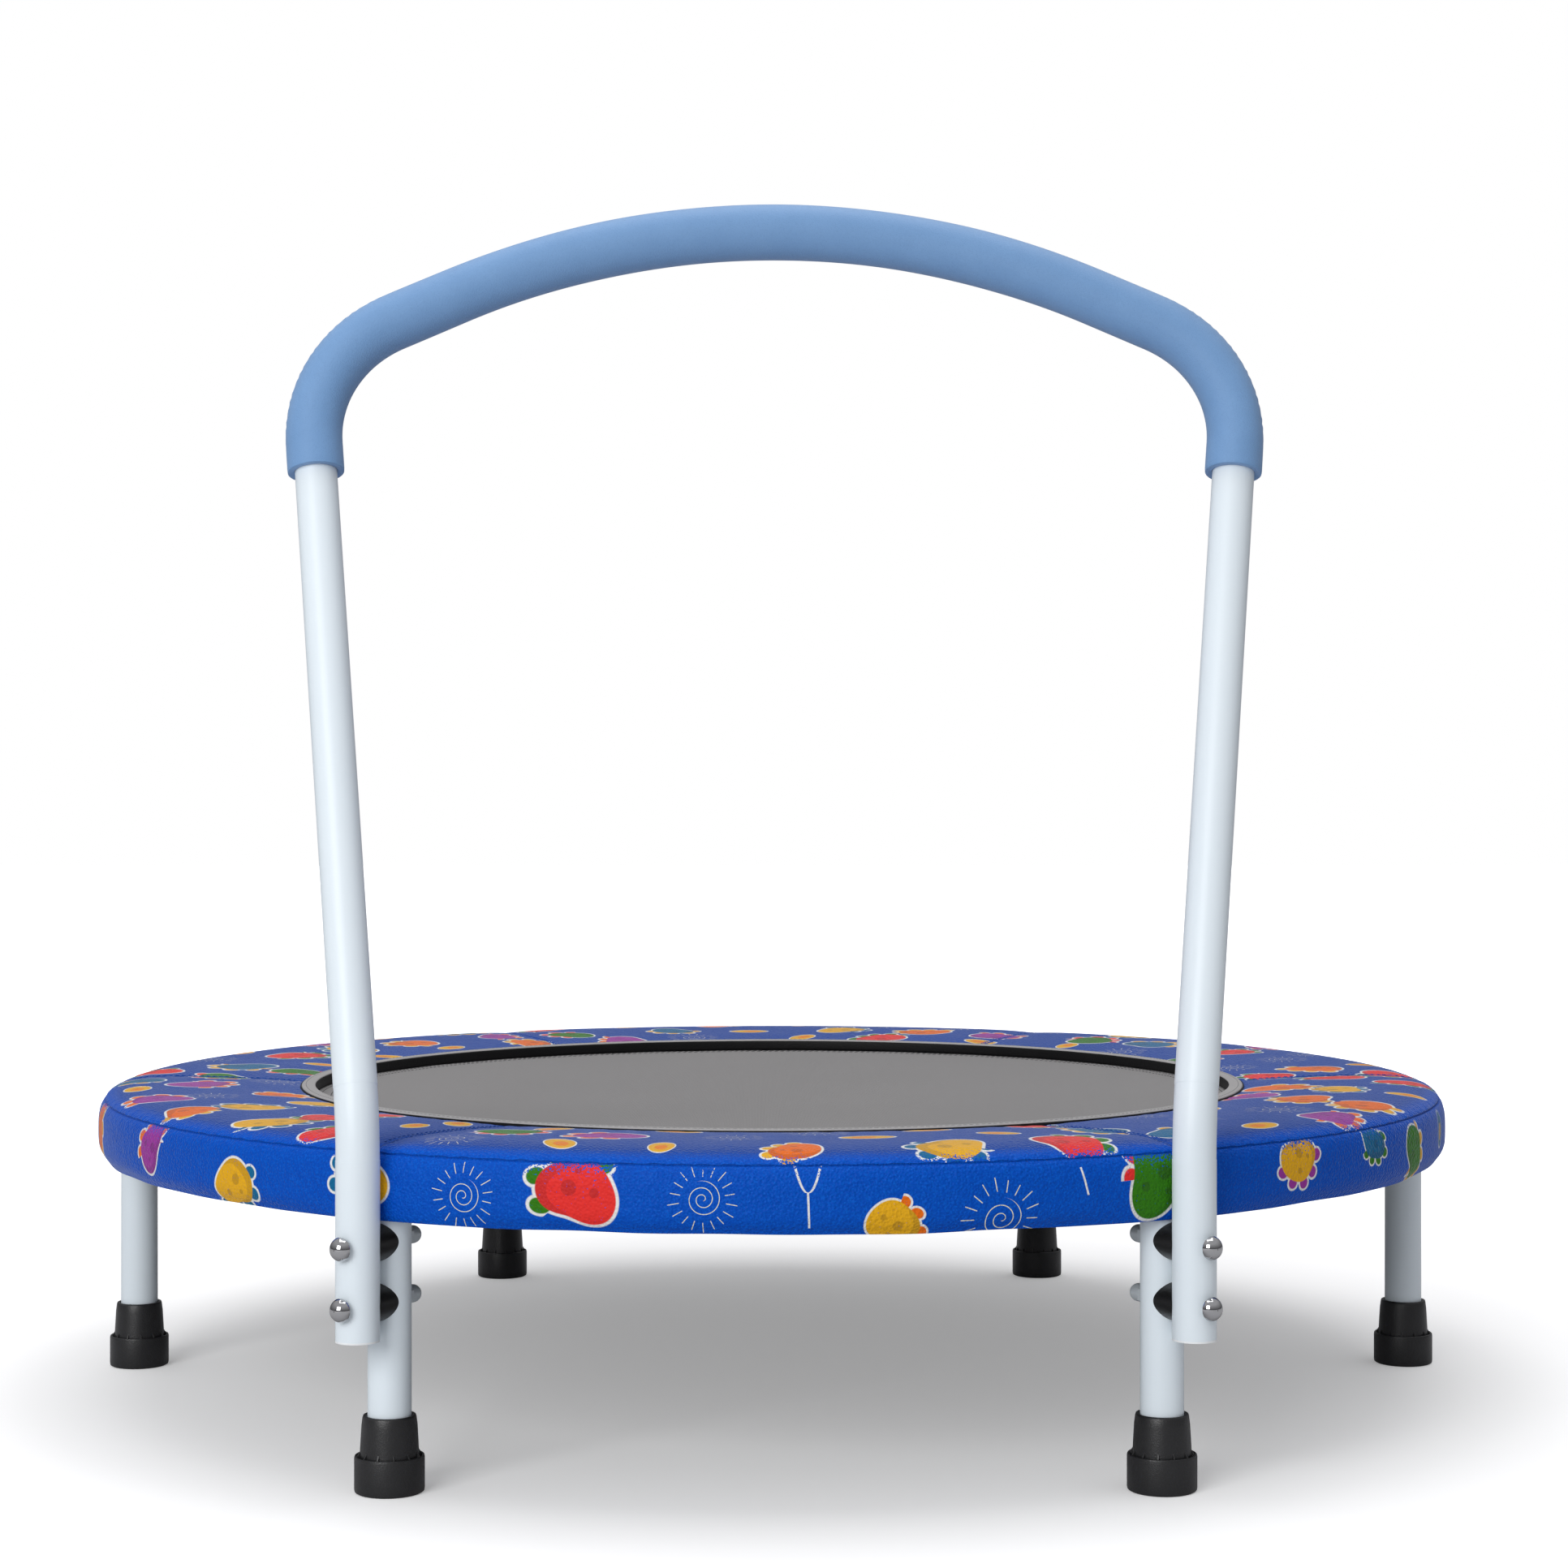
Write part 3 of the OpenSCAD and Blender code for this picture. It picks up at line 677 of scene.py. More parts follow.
def printed_vinyl():
    """Grained vinyl with the print on it, worn along its seams, with painted shade in its grain hollows
    and seam creases, and a painted shade that darkens its top.
    """
    material, tree, shader, place = start_material(
        "printed_vinyl_royal_blue", Specular_IOR_Level=0.07, Sheen_Weight=0.26, Sheen_Roughness=0.26,
        Sheen_Tint=(0.86, 0.92, 1.0))
    read = {}
    for label in ("motif_place", "motif_ink", "motif_trim", "seam", "painted_top_shade"):
        node = tree.nodes.new("ShaderNodeAttribute")
        node.attribute_name = label
        read[label] = node.outputs
    grain = place_group(tree, GRAIN, Place=place, Cells=620.0, Unevenness=0.6)
    crumbs = wire_up(tree, "ShaderNodeTexNoise", {"Vector": place, "Scale": 900.0, "Detail": 2.0})
    speckle = Number(tree, crumbs.outputs["Fac"]).over(0.56, 0.12) * 0.4
    ground = mixed(tree, grain["Fleck"], (0.0004, 0.064, 0.45), (0.001, 0.084, 0.53))
    ground = mixed(tree, speckle, ground, (0.004, 0.15, 0.72))
    # Painted shade on the top: the ground colour darkens over the top, away from its rounded edge.
    painted_top_shade = Number(tree, read["painted_top_shade"]["Fac"]) * 0.6
    ground = mixed(tree, painted_top_shade, ground, (0.010, 0.045, 0.22))
    inks = place_group(tree, print_group(), Place=read["motif_place"]["Vector"],
                       Ink=read["motif_ink"]["Color"], Trim=read["motif_trim"]["Color"],
                       Variant=read["motif_ink"]["Alpha"], Ground=ground)
    seam = Number(tree, read["seam"]["Fac"])
    bare = (Number(tree, crumbs.outputs["Fac"]) + seam * 0.34).over(0.72, 0.03)
    colour = mixed(tree, bare, inks["Colour"], ground)
    # Painted shade: the colour darkens in the grain's hollows and in the creases along the seams. The
    # ink worn off near the seams above is real wear.
    hollow_shade = Number(tree, grain["Height"]).under(0.35, 0.5) * 0.15
    colour = mixed(tree, hollow_shade.most(seam.over(0.95, 0.06) * 0.5), colour, (0.0, 0.006, 0.05))
    tree.links.new(colour, shader.inputs["Base Color"])
    tree.links.new(between(tree, grain["Fleck"], 0.38, 0.52), shader.inputs["Roughness"])
    bump(tree, shader, grain["Height"], 0.0006)
    return material


WHITE_COAT = powder_coat()
ZINC = plated_steel("zinc_plated_steel", (0.62, 0.63, 0.66), 0.28, 0.45, 0.00002)
SPRING_WIRE = plated_steel("zinc_plated_wire", (0.60, 0.61, 0.63), 0.22, 0.38, 0.00002)
BRIGHT = plated_steel("bright_plating", (0.54, 0.54, 0.55), 0.03, 0.08, 0.00001)
NUT_FINISH = plated_steel("satin_plating", (0.70, 0.76, 0.80), 0.42, 0.55, 0.00001,
                          metallic=0.4)
FOOT_RUBBER = moulded("foot_rubber_black", (0.012, 0.012, 0.013), 0.36, 1500.0)
SPACER_PLASTIC = moulded("spacer_plastic_black", (0.005, 0.005, 0.0055), 0.3, 1800.0,
                         gloss=0.3)
PLUG_PLASTIC = moulded("plug_plastic_white", (0.78, 0.82, 0.86), 0.4, 1600.0)
GRIP_FOAM = grip_foam()
MAT_FABRIC = mat_fabric()
BLACK_TAPE = woven_tape("webbing_black", (0.016, 0.016, 0.018))
LINING = woven_tape("lining_black", (0.02, 0.02, 0.024), 0.8)
GREY_TRIM = plain_vinyl("trim_vinyl_grey", (0.36, 0.352, 0.352), 0.5)
BLACK_TRIM = plain_vinyl("trim_vinyl_black", (0.003, 0.003, 0.0035), 0.5)
COVER_VINYL = printed_vinyl()
BLUE_THREAD = thread_material("thread_blue", (0.012, 0.09, 0.42))
GREY_THREAD = thread_material("thread_grey", (0.30, 0.30, 0.30))
BLACK_THREAD = thread_material("thread_black", (0.02, 0.02, 0.022))

# ---------------------------------------------------------------- padded cover

SEAM_Z = HEM_Z + 36.8 * MM
TOP_EDGE_R = 452.5 * MM
COVER_COLUMNS = 1080
PANELS = len(LEG_ANGLES)
PANEL_DEGREES = 360 / PANELS

# Section of the cover in mm: from the opening over the top to the perimeter seam
TOP_OUTLINE = [
    (317.2, 191.6), (317.0, 194.2), (318.2, 196.0), (322, 197.0), (334, 198.5), (360, 200.2),
    (395, 201.4), (420, 201.7), (434, 201.1), (442.6, 199.9), (448.4, 198.1), (451.6, 196.2),
    (453.2, 194.4),
]
# From the seam down the side band, round the hem and up inside it
BAND_OUTLINE = [
    (452.5, 193.7), (454.1, 192.8), (455.7, 190.4), (456.9, 186.8), (457.6, 182.4), (457.8, 176),
    (457.7, 168.5), (457.1, 162.6), (456.2, 158.8), (455.2, 156.8), (454.2, 156.0),
    (453.5, 157.2), (453.2, 162), (453.1, 176), (453.0, 189.5),
]
# The underside, back to the opening
UNDER_OUTLINE = [(449.0, 192.0), (440, 192.1), (400, 192.1), (350, 192.1), (319, 191.9)]


def cover_angles():
    """Column angles, closer together beside the radial seams."""
    even = np.arange(COVER_COLUMNS) / COVER_COLUMNS
    phase = even * PANELS * TAU
    return even * TAU - 0.55 * np.sin(phase) / PANELS


def off_seam(angle):
    """Degrees from the nearest radial seam."""
    half = PANEL_DEGREES / 2
    return np.abs((np.degrees(angle) + half) % PANEL_DEGREES - half)


def ripples(angle, waves, rng):
    """A few sine waves round the cover, with random phases."""
    total = 0 * angle
    for count in waves:
        total = total + np.sin(angle * count + rng.uniform(0, TAU)) / len(waves)
    return total


def cover_shape():
    """The cover's grid of points, with each row's part of the section and its running length."""
    rng = random.Random(11)
    top = smooth_outline(TOP_OUTLINE, 5) * MM
    band = smooth_outline(BAND_OUTLINE, 4) * MM
    under = smooth_outline(UNDER_OUTLINE, 3) * MM
    section = np.concatenate([top, band, under])
    part = np.array([0] * len(top) + [1] * len(band) + [2] * len(under))
    length = np.concatenate([[0], np.cumsum(np.hypot(*np.diff(section, axis=0).T))])
    angle = cover_angles()
    radius, height = section[:, :1] + 0 * angle, section[:, 1:] + 0 * angle
    theta = angle[None, :] + 0 * radius
    seam_gap = off_seam(theta) * math.pi / 180 * radius
    seam_side = np.abs(length - length[len(top) - 1])[:, None]

    # The top: pillowed between the radial seams, with puckers at its seams and its binding
    top_rows = (part == 0)[:, None]
    on_top = top_rows * np.clip((radius - 319 * MM) / (12 * MM), 0, 1)
    pillow = 1 - np.exp(-(seam_gap / (17 * MM)) ** 1.3)
    groove = np.exp(-(seam_gap / (1.1 * MM)) ** 2)
    fade_out = np.clip((TOP_EDGE_R - radius) / (10 * MM), 0, 1)
    height = height - on_top * fade_out * (1.5 * MM * (1 - pillow))
    past_binding = np.clip((radius - 317.5 * MM) / (3 * MM), 0, 1)
    height = height - top_rows * past_binding * 0.9 * MM * groove
    across = np.sin((radius - 317 * MM) / (140 * MM) * math.pi)
    broad = ripples(theta, (5, 8, 13, 17), rng) * across
    height = height + on_top * fade_out * broad * 0.45 * MM
    seam_pull = np.exp(-seam_side / (7 * MM))
    pucker = ripples(theta, (151, 187, 223), rng) * seam_pull
    inner_pull = np.exp(-np.abs(radius - 324 * MM) / (6 * MM))
    height = height + on_top * ripples(theta, (97, 131, 149), rng) * inner_pull * 0.45 * MM
    creases = np.sin(radius / (6.5 * MM) * TAU / 2 + 3 * np.sin(theta * 6))
    fan = np.exp(-(seam_gap / (9 * MM)) ** 2) * creases
    height = height + on_top * fade_out * fan * 0.16 * MM
    height = height + on_top * pucker * 0.5 * MM

    # The side band: a slow sway, and a hem that tucks in between the legs
    band_rows = (part == 1)[:, None]
    on_band = band_rows * (section[:, 0] > 454.0 * MM)[:, None]
    drop = np.clip((SEAM_Z - section[:, 1])[:, None] / (12 * MM), 0, 1)
    sway = ripples(theta, (7, 12, 19, 31), rng) * 0.35 * MM * drop
    radius = radius + on_band * (sway + pucker * 0.3 * MM)
    near_hem = np.clip((167 * MM - section[:, 1]) / (9 * MM), 0, 1)[:, None] * band_rows
    tuck = np.clip((off_seam(theta) - 3.5) / 7, 0, 1)
    tuck = tuck * tuck * (3 - 2 * tuck)
    radius = radius - near_hem**2 * tuck * 2.6 * MM
    hem_wave = ripples(theta, (9, 14, 23, 37), rng)
    height = height + near_hem * tuck * hem_wave * 0.7 * MM
    return round_points(radius, theta, height), part, length, theta


YELLOW, ORANGE, RED = (0.80, 0.42, 0.015), (0.83, 0.16, 0.01), (0.80, 0.035, 0.03)
GREEN, TEAL, PURPLE = (0.035, 0.19, 0.008), (0.008, 0.14, 0.30), (0.33, 0.04, 0.33)
INK_PAIRS = [(RED, GREEN), (YELLOW, TEAL), (ORANGE, YELLOW),
             (PURPLE, ORANGE), (GREEN, RED), (TEAL, YELLOW)]

# Motifs on the front of the band: kind, degrees from the front, height in mm, radius in mm, turn, inks
FRONT_MOTIFS = [
    (PEBBLE, -56.5, 179, 25, 20, (PURPLE, ORANGE)), (PEBBLE, -44, 166, 26, 80, (YELLOW, TEAL)),
    (PEBBLE, -31, 176, 27, 160, (YELLOW, TEAL)), (SUN, -22.4, 171, 20, 0, (YELLOW, RED)),
    (PEBBLE, -13.9, 177, 34, 200, (RED, GREEN)), (SUN, -5.1, 173.4, 20, 40, (YELLOW, RED)),
    (SPRIG, 2.1, 176, 19, 0, (YELLOW, RED)), (PEBBLE, 8, 160, 22, 0, (YELLOW, ORANGE)),
    (SUN, 15.7, 160, 24, 10, (YELLOW, RED)), (DASH, 22, 179, 13, 15, (YELLOW, RED)),
    (PEBBLE, 28, 179, 34, 60, (GREEN, RED)), (PEBBLE, 42, 181, 24, 120, (YELLOW, PURPLE)),
    (PEBBLE, 52.4, 184, 20, 0, (TEAL, GREEN)), (PEBBLE, 60.5, 172, 25, 250, (GREEN, YELLOW)),
]


def band_motifs():
    """Motifs round the side band, as rows of arc, height below the seam and the rest."""
    rng = random.Random(5)
    motifs = [(kind, math.radians(spot - 90), (SEAM_Z - z * MM), size * MM, math.radians(turn), inks)
              for kind, spot, z, size, turn, inks in FRONT_MOTIFS]
    spot = 70.0
    while spot < 292:
        kind = rng.choice([PEBBLE, PEBBLE, PEBBLE, SUN, SEED])
        size = {PEBBLE: 26, SUN: 20, SEED: 14}[kind] * rng.uniform(0.85, 1.15)
        motifs.append((kind, math.radians(spot - 90), rng.uniform(8, 30) * MM, size * MM,
                       rng.uniform(0, TAU), rng.choice(INK_PAIRS)))
        spot += 7.6 + rng.uniform(-0.6, 0.8)
    return motifs


def top_motifs():
    """Motifs on the top, in three staggered rings of x, y."""
    rng = random.Random(23)
    motifs = []
    for ring, spread in enumerate((343, 386, 431)):
        count = round(TAU * spread / 74)
        for i in range(count):
            turn = (i + 0.5 * (ring % 2) + rng.uniform(-0.16, 0.16)) * TAU / count
            reach = (spread + rng.uniform(-7, 7)) * MM
            kind = rng.choice([PEBBLE, PEBBLE, PEBBLE, SEED, SEED, SUN])
            size = {PEBBLE: 30, SUN: 20, SEED: 15}[kind] * rng.uniform(0.85, 1.15) * MM
            inks = INK_PAIRS[(5 * len(motifs) + ring) % len(INK_PAIRS)]
            if kind == SEED:
                inks = (YELLOW, ORANGE)
            motifs.append((kind, reach * math.cos(turn), reach * math.sin(turn), size,
                           rng.uniform(0, TAU), inks))
    return motifs


def lay_print(mesh, flat_xy, is_band, width):
    """Gives each face its nearest motif and each corner its place in that motif."""
    faces = len(mesh.polygons)
    corner_point = np.empty(len(mesh.loops), dtype=int)
    mesh.loops.foreach_get("vertex_index", corner_point)
    starts = np.empty(faces, dtype=int)
    totals = np.empty(faces, dtype=int)
    mesh.polygons.foreach_get("loop_start", starts)
    mesh.polygons.foreach_get("loop_total", totals)
    corner_face = np.repeat(np.arange(faces), totals)
    first = corner_point[starts]
    place, ink, trim = (np.zeros((len(mesh.loops), n)) for n in (3, 4, 4))
    for on_band, motifs in ((False, top_motifs()), (True, band_motifs())):
        centre = np.array([[m[1] * (COVER_R if on_band else 1), m[2]] for m in motifs])
        size = np.array([m[3] for m in motifs])
        chosen = is_band[first] == on_band
        gap = flat_xy[first][:, None, :] - centre[None]
        if on_band:
            gap[..., 0] = (gap[..., 0] + width / 2) % width - width / 2
        nearest = np.argmin(np.hypot(gap[..., 0], gap[..., 1]) / size, axis=1)
        corners = chosen[corner_face]
        pick = nearest[corner_face][corners]
        local = flat_xy[corner_point[corners]] - centre[pick]
        if on_band:
            local[:, 0] = (local[:, 0] + width / 2) % width - width / 2
            local[:, 1] *= -1
        turn = np.array([m[4] for m in motifs])[pick]
        local = local / size[pick][:, None]
        place[corners, 0] = local[:, 0] * np.cos(turn) + local[:, 1] * np.sin(turn)
        place[corners, 1] = local[:, 1] * np.cos(turn) - local[:, 0] * np.sin(turn)
        place[corners, 2] = np.array([m[0] for m in motifs])[pick]
        ink[corners, :3] = np.array([m[5][0] for m in motifs])[pick]
        ink[corners, 3] = ((np.arange(len(motifs)) * 0.618) % 1)[pick]
        trim[corners, :3] = np.array([m[5][1] for m in motifs])[pick]
        trim[corners, 3] = 1
    for label, kind, values, key in (("motif_place", "FLOAT_VECTOR", place, "vector"),
                                     ("motif_ink", "FLOAT_COLOR", ink, "color"),
                                     ("motif_trim", "FLOAT_COLOR", trim, "color")):
        layer = mesh.attributes.new(label, kind, "CORNER")
        layer.data.foreach_set(key, values.astype(np.float32).ravel())


def seam_nearness(part, length, theta):
    """1 on a seam, fading to 0 some way off it."""
    round_gap = np.abs(length - length[part == 0][-1] - 0.3 * MM)[:, None] + 0 * theta
    cross_gap = off_seam(theta) * math.pi / 180 * 400 * MM
    cross_gap = np.where((part == 0)[:, None], cross_gap, 1)
    near_round = np.exp(-(round_gap / (6 * MM)) ** 1.2)
    near_cross = np.exp(-(cross_gap / (5 * MM)) ** 1.4)
    return np.maximum(near_round, near_cross)


def make_cover():
    """The padded cover: one closed skin with its print, its seams and a plain lining below."""
    points, part, length, theta = cover_shape()
    mesh = sheet_mesh("pad_cover_printed", points, closed_rows=True, closed_columns=True)
    away = np.hypot(points[..., 0], points[..., 1])
    # Painted shade: a mask over the top, full inside its rounded edge, that darkens the vinyl's colour
    # there.
    painted_top_shade = (part == 0)[:, None] * np.clip((451 * MM - away) / (9 * MM), 0, 1)
    for label, values in (("seam", seam_nearness(part, length, theta)), ("painted_top_shade", painted_top_shade)):
        mark = mesh.attributes.new(label, "FLOAT", "POINT")
        mark.data.foreach_set("value", values.astype(np.float32).ravel())
    seam = length[part == 0][-1]
    reach = (OPENING_R + length)[:, None] + 0 * theta
    top_flat = np.stack([reach * np.cos(theta), reach * np.sin(theta)], axis=-1)
    band_flat = np.stack([COVER_R * theta, (length - seam)[:, None] + 0 * theta], axis=-1)
    is_band = np.broadcast_to((part >= 1)[:, None], theta.shape)
    flat_xy = np.where(is_band[..., None], band_flat, top_flat).reshape(-1, 2)
    lay_print(mesh, flat_xy, is_band.reshape(-1), TAU * COVER_R)
    piece = new_piece("pad_cover_printed", mesh, [COVER_VINYL, LINING])
    inside = np.repeat(part == 2, theta.shape[1])
    first = [polygon.vertices[0] for polygon in mesh.polygons]
    mesh.polygons.foreach_set("material_index", inside[first].astype(int))
    face_outwards(mesh)
    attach(piece, FRAME_BODY)
    foams = [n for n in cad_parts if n.startswith("pad_foam_")]
    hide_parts("pad_cover", *foams)
    return piece


def face_outwards(mesh):
    """Flips a closed mesh whose faces point inwards, and keeps its attributes."""
    work = bmesh.new()
    work.from_mesh(mesh)
    if work.calc_volume(signed=True) < 0:
        bmesh.ops.reverse_faces(work, faces=work.faces)
        work.to_mesh(mesh)
    work.free()


def circle_path(radius, height, count=360, wobble=0.0, seed=1):
    rng = random.Random(seed)
    turn = np.arange(count) * TAU / count
    drift = ripples(turn, (11, 17, 29), rng) * wobble
    return round_points(radius + drift, turn, height)


def make_cover_stitches():
    """Lock stitches beside the radial seams."""
    paths = []
    top = smooth_outline(TOP_OUTLINE, 5) * MM
    top = top[top[:, 0] > 327 * MM]
    sunk = 1.28 * MM * np.clip((TOP_EDGE_R - top[:, 0]) / (10 * MM), 0, 1)
    for angle in LEG_ANGLES:
        for side in (-1, 1):
            offset = side * 2.6 * MM
            line = [(r, offset, z - drop) for (r, z), drop in zip(top[:-3], sunk)]
            paths.append(turned(path_mesh("seam", line), angle))
    base = joined("seam_paths", paths)
    mesh = grown("cover_stitches", base, STITCHES, Pitch=4.2 * MM, Length=3.1 * MM,
                 Thickness=0.55 * MM, Seed=3, Material=BLUE_THREAD)
    piece = new_piece("cover_stitches", mesh, [BLUE_THREAD])
    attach(piece, FRAME_BODY)


def make_lining():
    """The lining: a thin flat ring under the foam, from the binding to the hoop's outside."""
    inner, outer = OPENING_R + BINDING_WIDTH, HOOP_R + TUBE_R + 0.3 * MM
    low, high = LINING_Z + 0.1 * MM, LINING_Z + 0.5 * MM
    outline = np.array([(inner, low), (outer, low), (outer, high), (inner, high)])
    piece = new_piece("cover_lining", outwards(lathe("cover_lining", outline, 240)), [LINING])
    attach(piece, FRAME_BODY)
    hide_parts("pad_lining")


def make_opening_trim():
    """The binding round the opening: a grey tape on top of a black folded edge."""
    r, top, low = OPENING_R / MM, TRIM_TOP / MM, binding_low[2] / MM
    edge = smooth_outline([
        (r + 2.0, low + 0.3), (r + 0.7, low + 0.2), (r + 0.1, low + 1.6), (r + 0.05, top - 2.6),
        (r + 0.5, top - 1.0), (r + 2.4, top - 0.8), (r + 9.6, top - 0.8), (r + 10.5, top - 1.2),
        (r + 10.4, top - 2.7), (r + 4, top - 2.9), (r + 2.4, top - 4.2), (r + 2.3, low + 2),
    ], 4, closed=True) * MM
    tape = smooth_outline([
        (r + 0.9, top - 0.9), (r + 0.6, top - 0.45), (r + 1.3, top - 0.05), (r + 4.6, top + 0.05),
        (r + 8.5, top - 0.05), (r + 9.5, top - 0.45), (r + 9.2, top - 0.9), (r + 4.5, top - 0.85),
    ], 4, closed=True) * MM
    edge_mesh = outwards(lathe("opening_trim_edge", edge, 360))
    top_mesh = outwards(lathe("opening_trim_tape", tape, 360))
    wall = new_piece("opening_trim_edge", edge_mesh, [BLACK_TRIM])
    band = new_piece("opening_trim_tape", top_mesh, [GREY_TRIM])
    sewn = circle_path(OPENING_R + 6.8 * MM, TRIM_TOP + 0.06 * MM)
    base = path_mesh("trim_path", sewn, closed=True)
    mesh = grown("opening_trim_stitches", base, STITCHES, Pitch=4.0 * MM, Length=2.9 * MM,
                 Thickness=0.5 * MM, Seed=8, Material=GREY_THREAD)
    stitches = new_piece("opening_trim_stitches", mesh, [GREY_THREAD])
    for piece in (wall, band, stitches):
        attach(piece, FRAME_BODY)
    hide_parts("pad_binding")


# ---------------------------------------------------------------- mat and springs


def make_mat():
    """The mat: a thin woven disc whose rim is drawn out a little at each spring."""
    rings, columns = 46, 360
    share = np.linspace(0.01, 1, rings)[:, None]
    turn = (np.arange(columns) * TAU / columns)[None, :]
    pull = (np.cos(turn * SPRINGS + math.pi) + 1) / 2
    radius = share * (MAT_R - 0.8 * MM) - share**12 * 1.2 * MM * (1 - pull) + 0 * turn
    sway = 0.16 * MM * np.cos(turn * SPRINGS) * share**24
    shell = []
    for height in (mat_high[2], mat_low[2] + 0.05 * MM):
        shell.append(round_points(radius, turn, height + sway + 0 * radius))
    points = np.concatenate([shell[0], shell[1][::-1]])
    mesh = sheet_mesh("mat_woven", points, closed_columns=True, caps=True)
    piece = new_piece("mat_woven", outwards(mesh), [MAT_FABRIC])
    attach(piece, MAT_BODY)
    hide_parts("jump_mat")
    return piece


def make_mat_band():
    """The webbing band under the rim, and the rows of stitches that hold it."""
    low, high = webbing_low[2], webbing_high[2]
    inner = MAT_R - 30 * MM
    outline = smooth_outline(np.array([
        (inner, low + 0.4 * MM), (inner + 0.5 * MM, low + 0.05 * MM),
        (MAT_R - 2 * MM, low + 0.05 * MM),
        (MAT_R - 1.4 * MM, low + 0.5 * MM), (MAT_R - 1.4 * MM, high - 0.2 * MM), (MAT_R - 2 * MM, high),
        (inner + 0.5 * MM, high), (inner, high - 0.3 * MM)]), 2, closed=True)
    band = new_piece("mat_band", outwards(lathe("mat_band", outline, 360)), [BLACK_TAPE])
    rows = []
    for height in (mat_high[2] + 0.03 * MM, webbing_low[2] + 0.08 * MM):
        for inset in (28, 21, 4):
            rows.append(path_mesh("row", circle_path(MAT_R - inset * MM, height), closed=True))
    mesh = grown("mat_stitches", joined("rows", rows), STITCHES, Pitch=4.6 * MM, Length=3.4 * MM,
                 Thickness=0.55 * MM, Seed=4, Material=BLACK_THREAD)
    stitches = new_piece("mat_stitches", mesh, [BLACK_THREAD])
    for piece in (band, stitches):
        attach(piece, MAT_BODY)
    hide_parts("mat_webbing")
    return band, stitches


def arc_points(centre, radius, start, end, count):
    """Points on an arc in the plane of [distance, height], angles in degrees."""
    angles = np.radians(np.linspace(start, end, count))
    return [(centre[0] + radius * math.cos(a), centre[1] + radius * math.sin(a)) for a in angles]


def tape_mesh(name, line, thickness, width):
    """A flat tape, rounded at its edges, along a line of [distance, height] from +Z."""
    line = np.array(line)
    along = np.gradient(line, axis=0)
    along /= np.linalg.norm(along, axis=1)[:, None]
    normal = np.stack([-along[:, 1], along[:, 0]], axis=1)
    half_t, half_w = thickness / 2, width / 2
    corner = half_t * 0.6
    section = [(-half_w, -half_t + corner), (-half_w + corner, -half_t), (0, -half_t),
               (half_w - corner, -half_t), (half_w, -half_t + corner), (half_w, half_t - corner),
               (half_w - corner, half_t), (0, half_t), (-half_w + corner, half_t),
               (-half_w, half_t - corner)]
    points = np.array([[(p[0] + n[0] * h, w, p[1] + n[1] * h) for w, h in section]
                       for p, n in zip(line, normal)])
    return outwards(sheet_mesh(name, points, closed_columns=True, caps=True))


TRIANGLE_BASE = MAT_R + 5.5 * MM
TRIANGLE_DEPTH = 13.5 * MM
TRIANGLE_TIP = TRIANGLE_BASE + TRIANGLE_DEPTH
TRIANGLE_WIRE = 1.3 * MM
LOOP_WIDTH = 13 * MM


def make_loops():
    """Webbing loops folded round the bases of the wire triangles and sewn under the band."""
    bore = TRIANGLE_WIRE + 0.95 * MM
    tail, neck = TRIANGLE_BASE - 20 * MM, TRIANGLE_BASE - 8 * MM
    over, under = WIRE_Z + 0.95 * MM, WIRE_Z - 0.55 * MM
    line = [(tail, over), (neck, over), *arc_points((TRIANGLE_BASE, WIRE_Z), bore, 150, -150, 22),
            (neck, under), (tail, under)]
    line = smooth_outline(line, 3)
    loop = tape_mesh("loop", line, 1.1 * MM, LOOP_WIDTH)
    first = math.radians(SPRING_STEP / 2)
    mesh = grown("ring_tapes", loop, ROUND, Count=SPRINGS, First_Angle=first, Material=BLACK_TAPE)
    piece = new_piece("ring_tapes", mesh, [BLACK_TAPE])
    # A box of stitches with a cross in it, on the tail of each loop
    first_x, last_x = TRIANGLE_BASE - 18.5 * MM, TRIANGLE_BASE - 8.5 * MM
    side = 6.5 * MM
    box = [(first_x, -side), (last_x, -side), (last_x, side), (first_x, side)]
    rows = [(box[i], box[(i + 1) % 4]) for i in range(4)] + [(box[0], box[2]), (box[1], box[3])]
    sewn = WIRE_Z - 1.12 * MM
    one = joined("box", [path_mesh("side", [(*a, sewn), (*b, sewn)]) for a, b in rows])
    turns = [turned(one, (i + 0.5) * SPRING_STEP) for i in range(SPRINGS)]
    mesh = grown("ring_tape_stitches", joined("boxes", turns), STITCHES, Pitch=2.6 * MM, Length=2.0 * MM,
                 Thickness=0.5 * MM, Seed=6, Material=GREY_THREAD)
    stitches = new_piece("ring_tape_stitches", mesh, [GREY_THREAD])
    for item in (piece, stitches):
        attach(item, MAT_BODY)
    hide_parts("ring_loops")


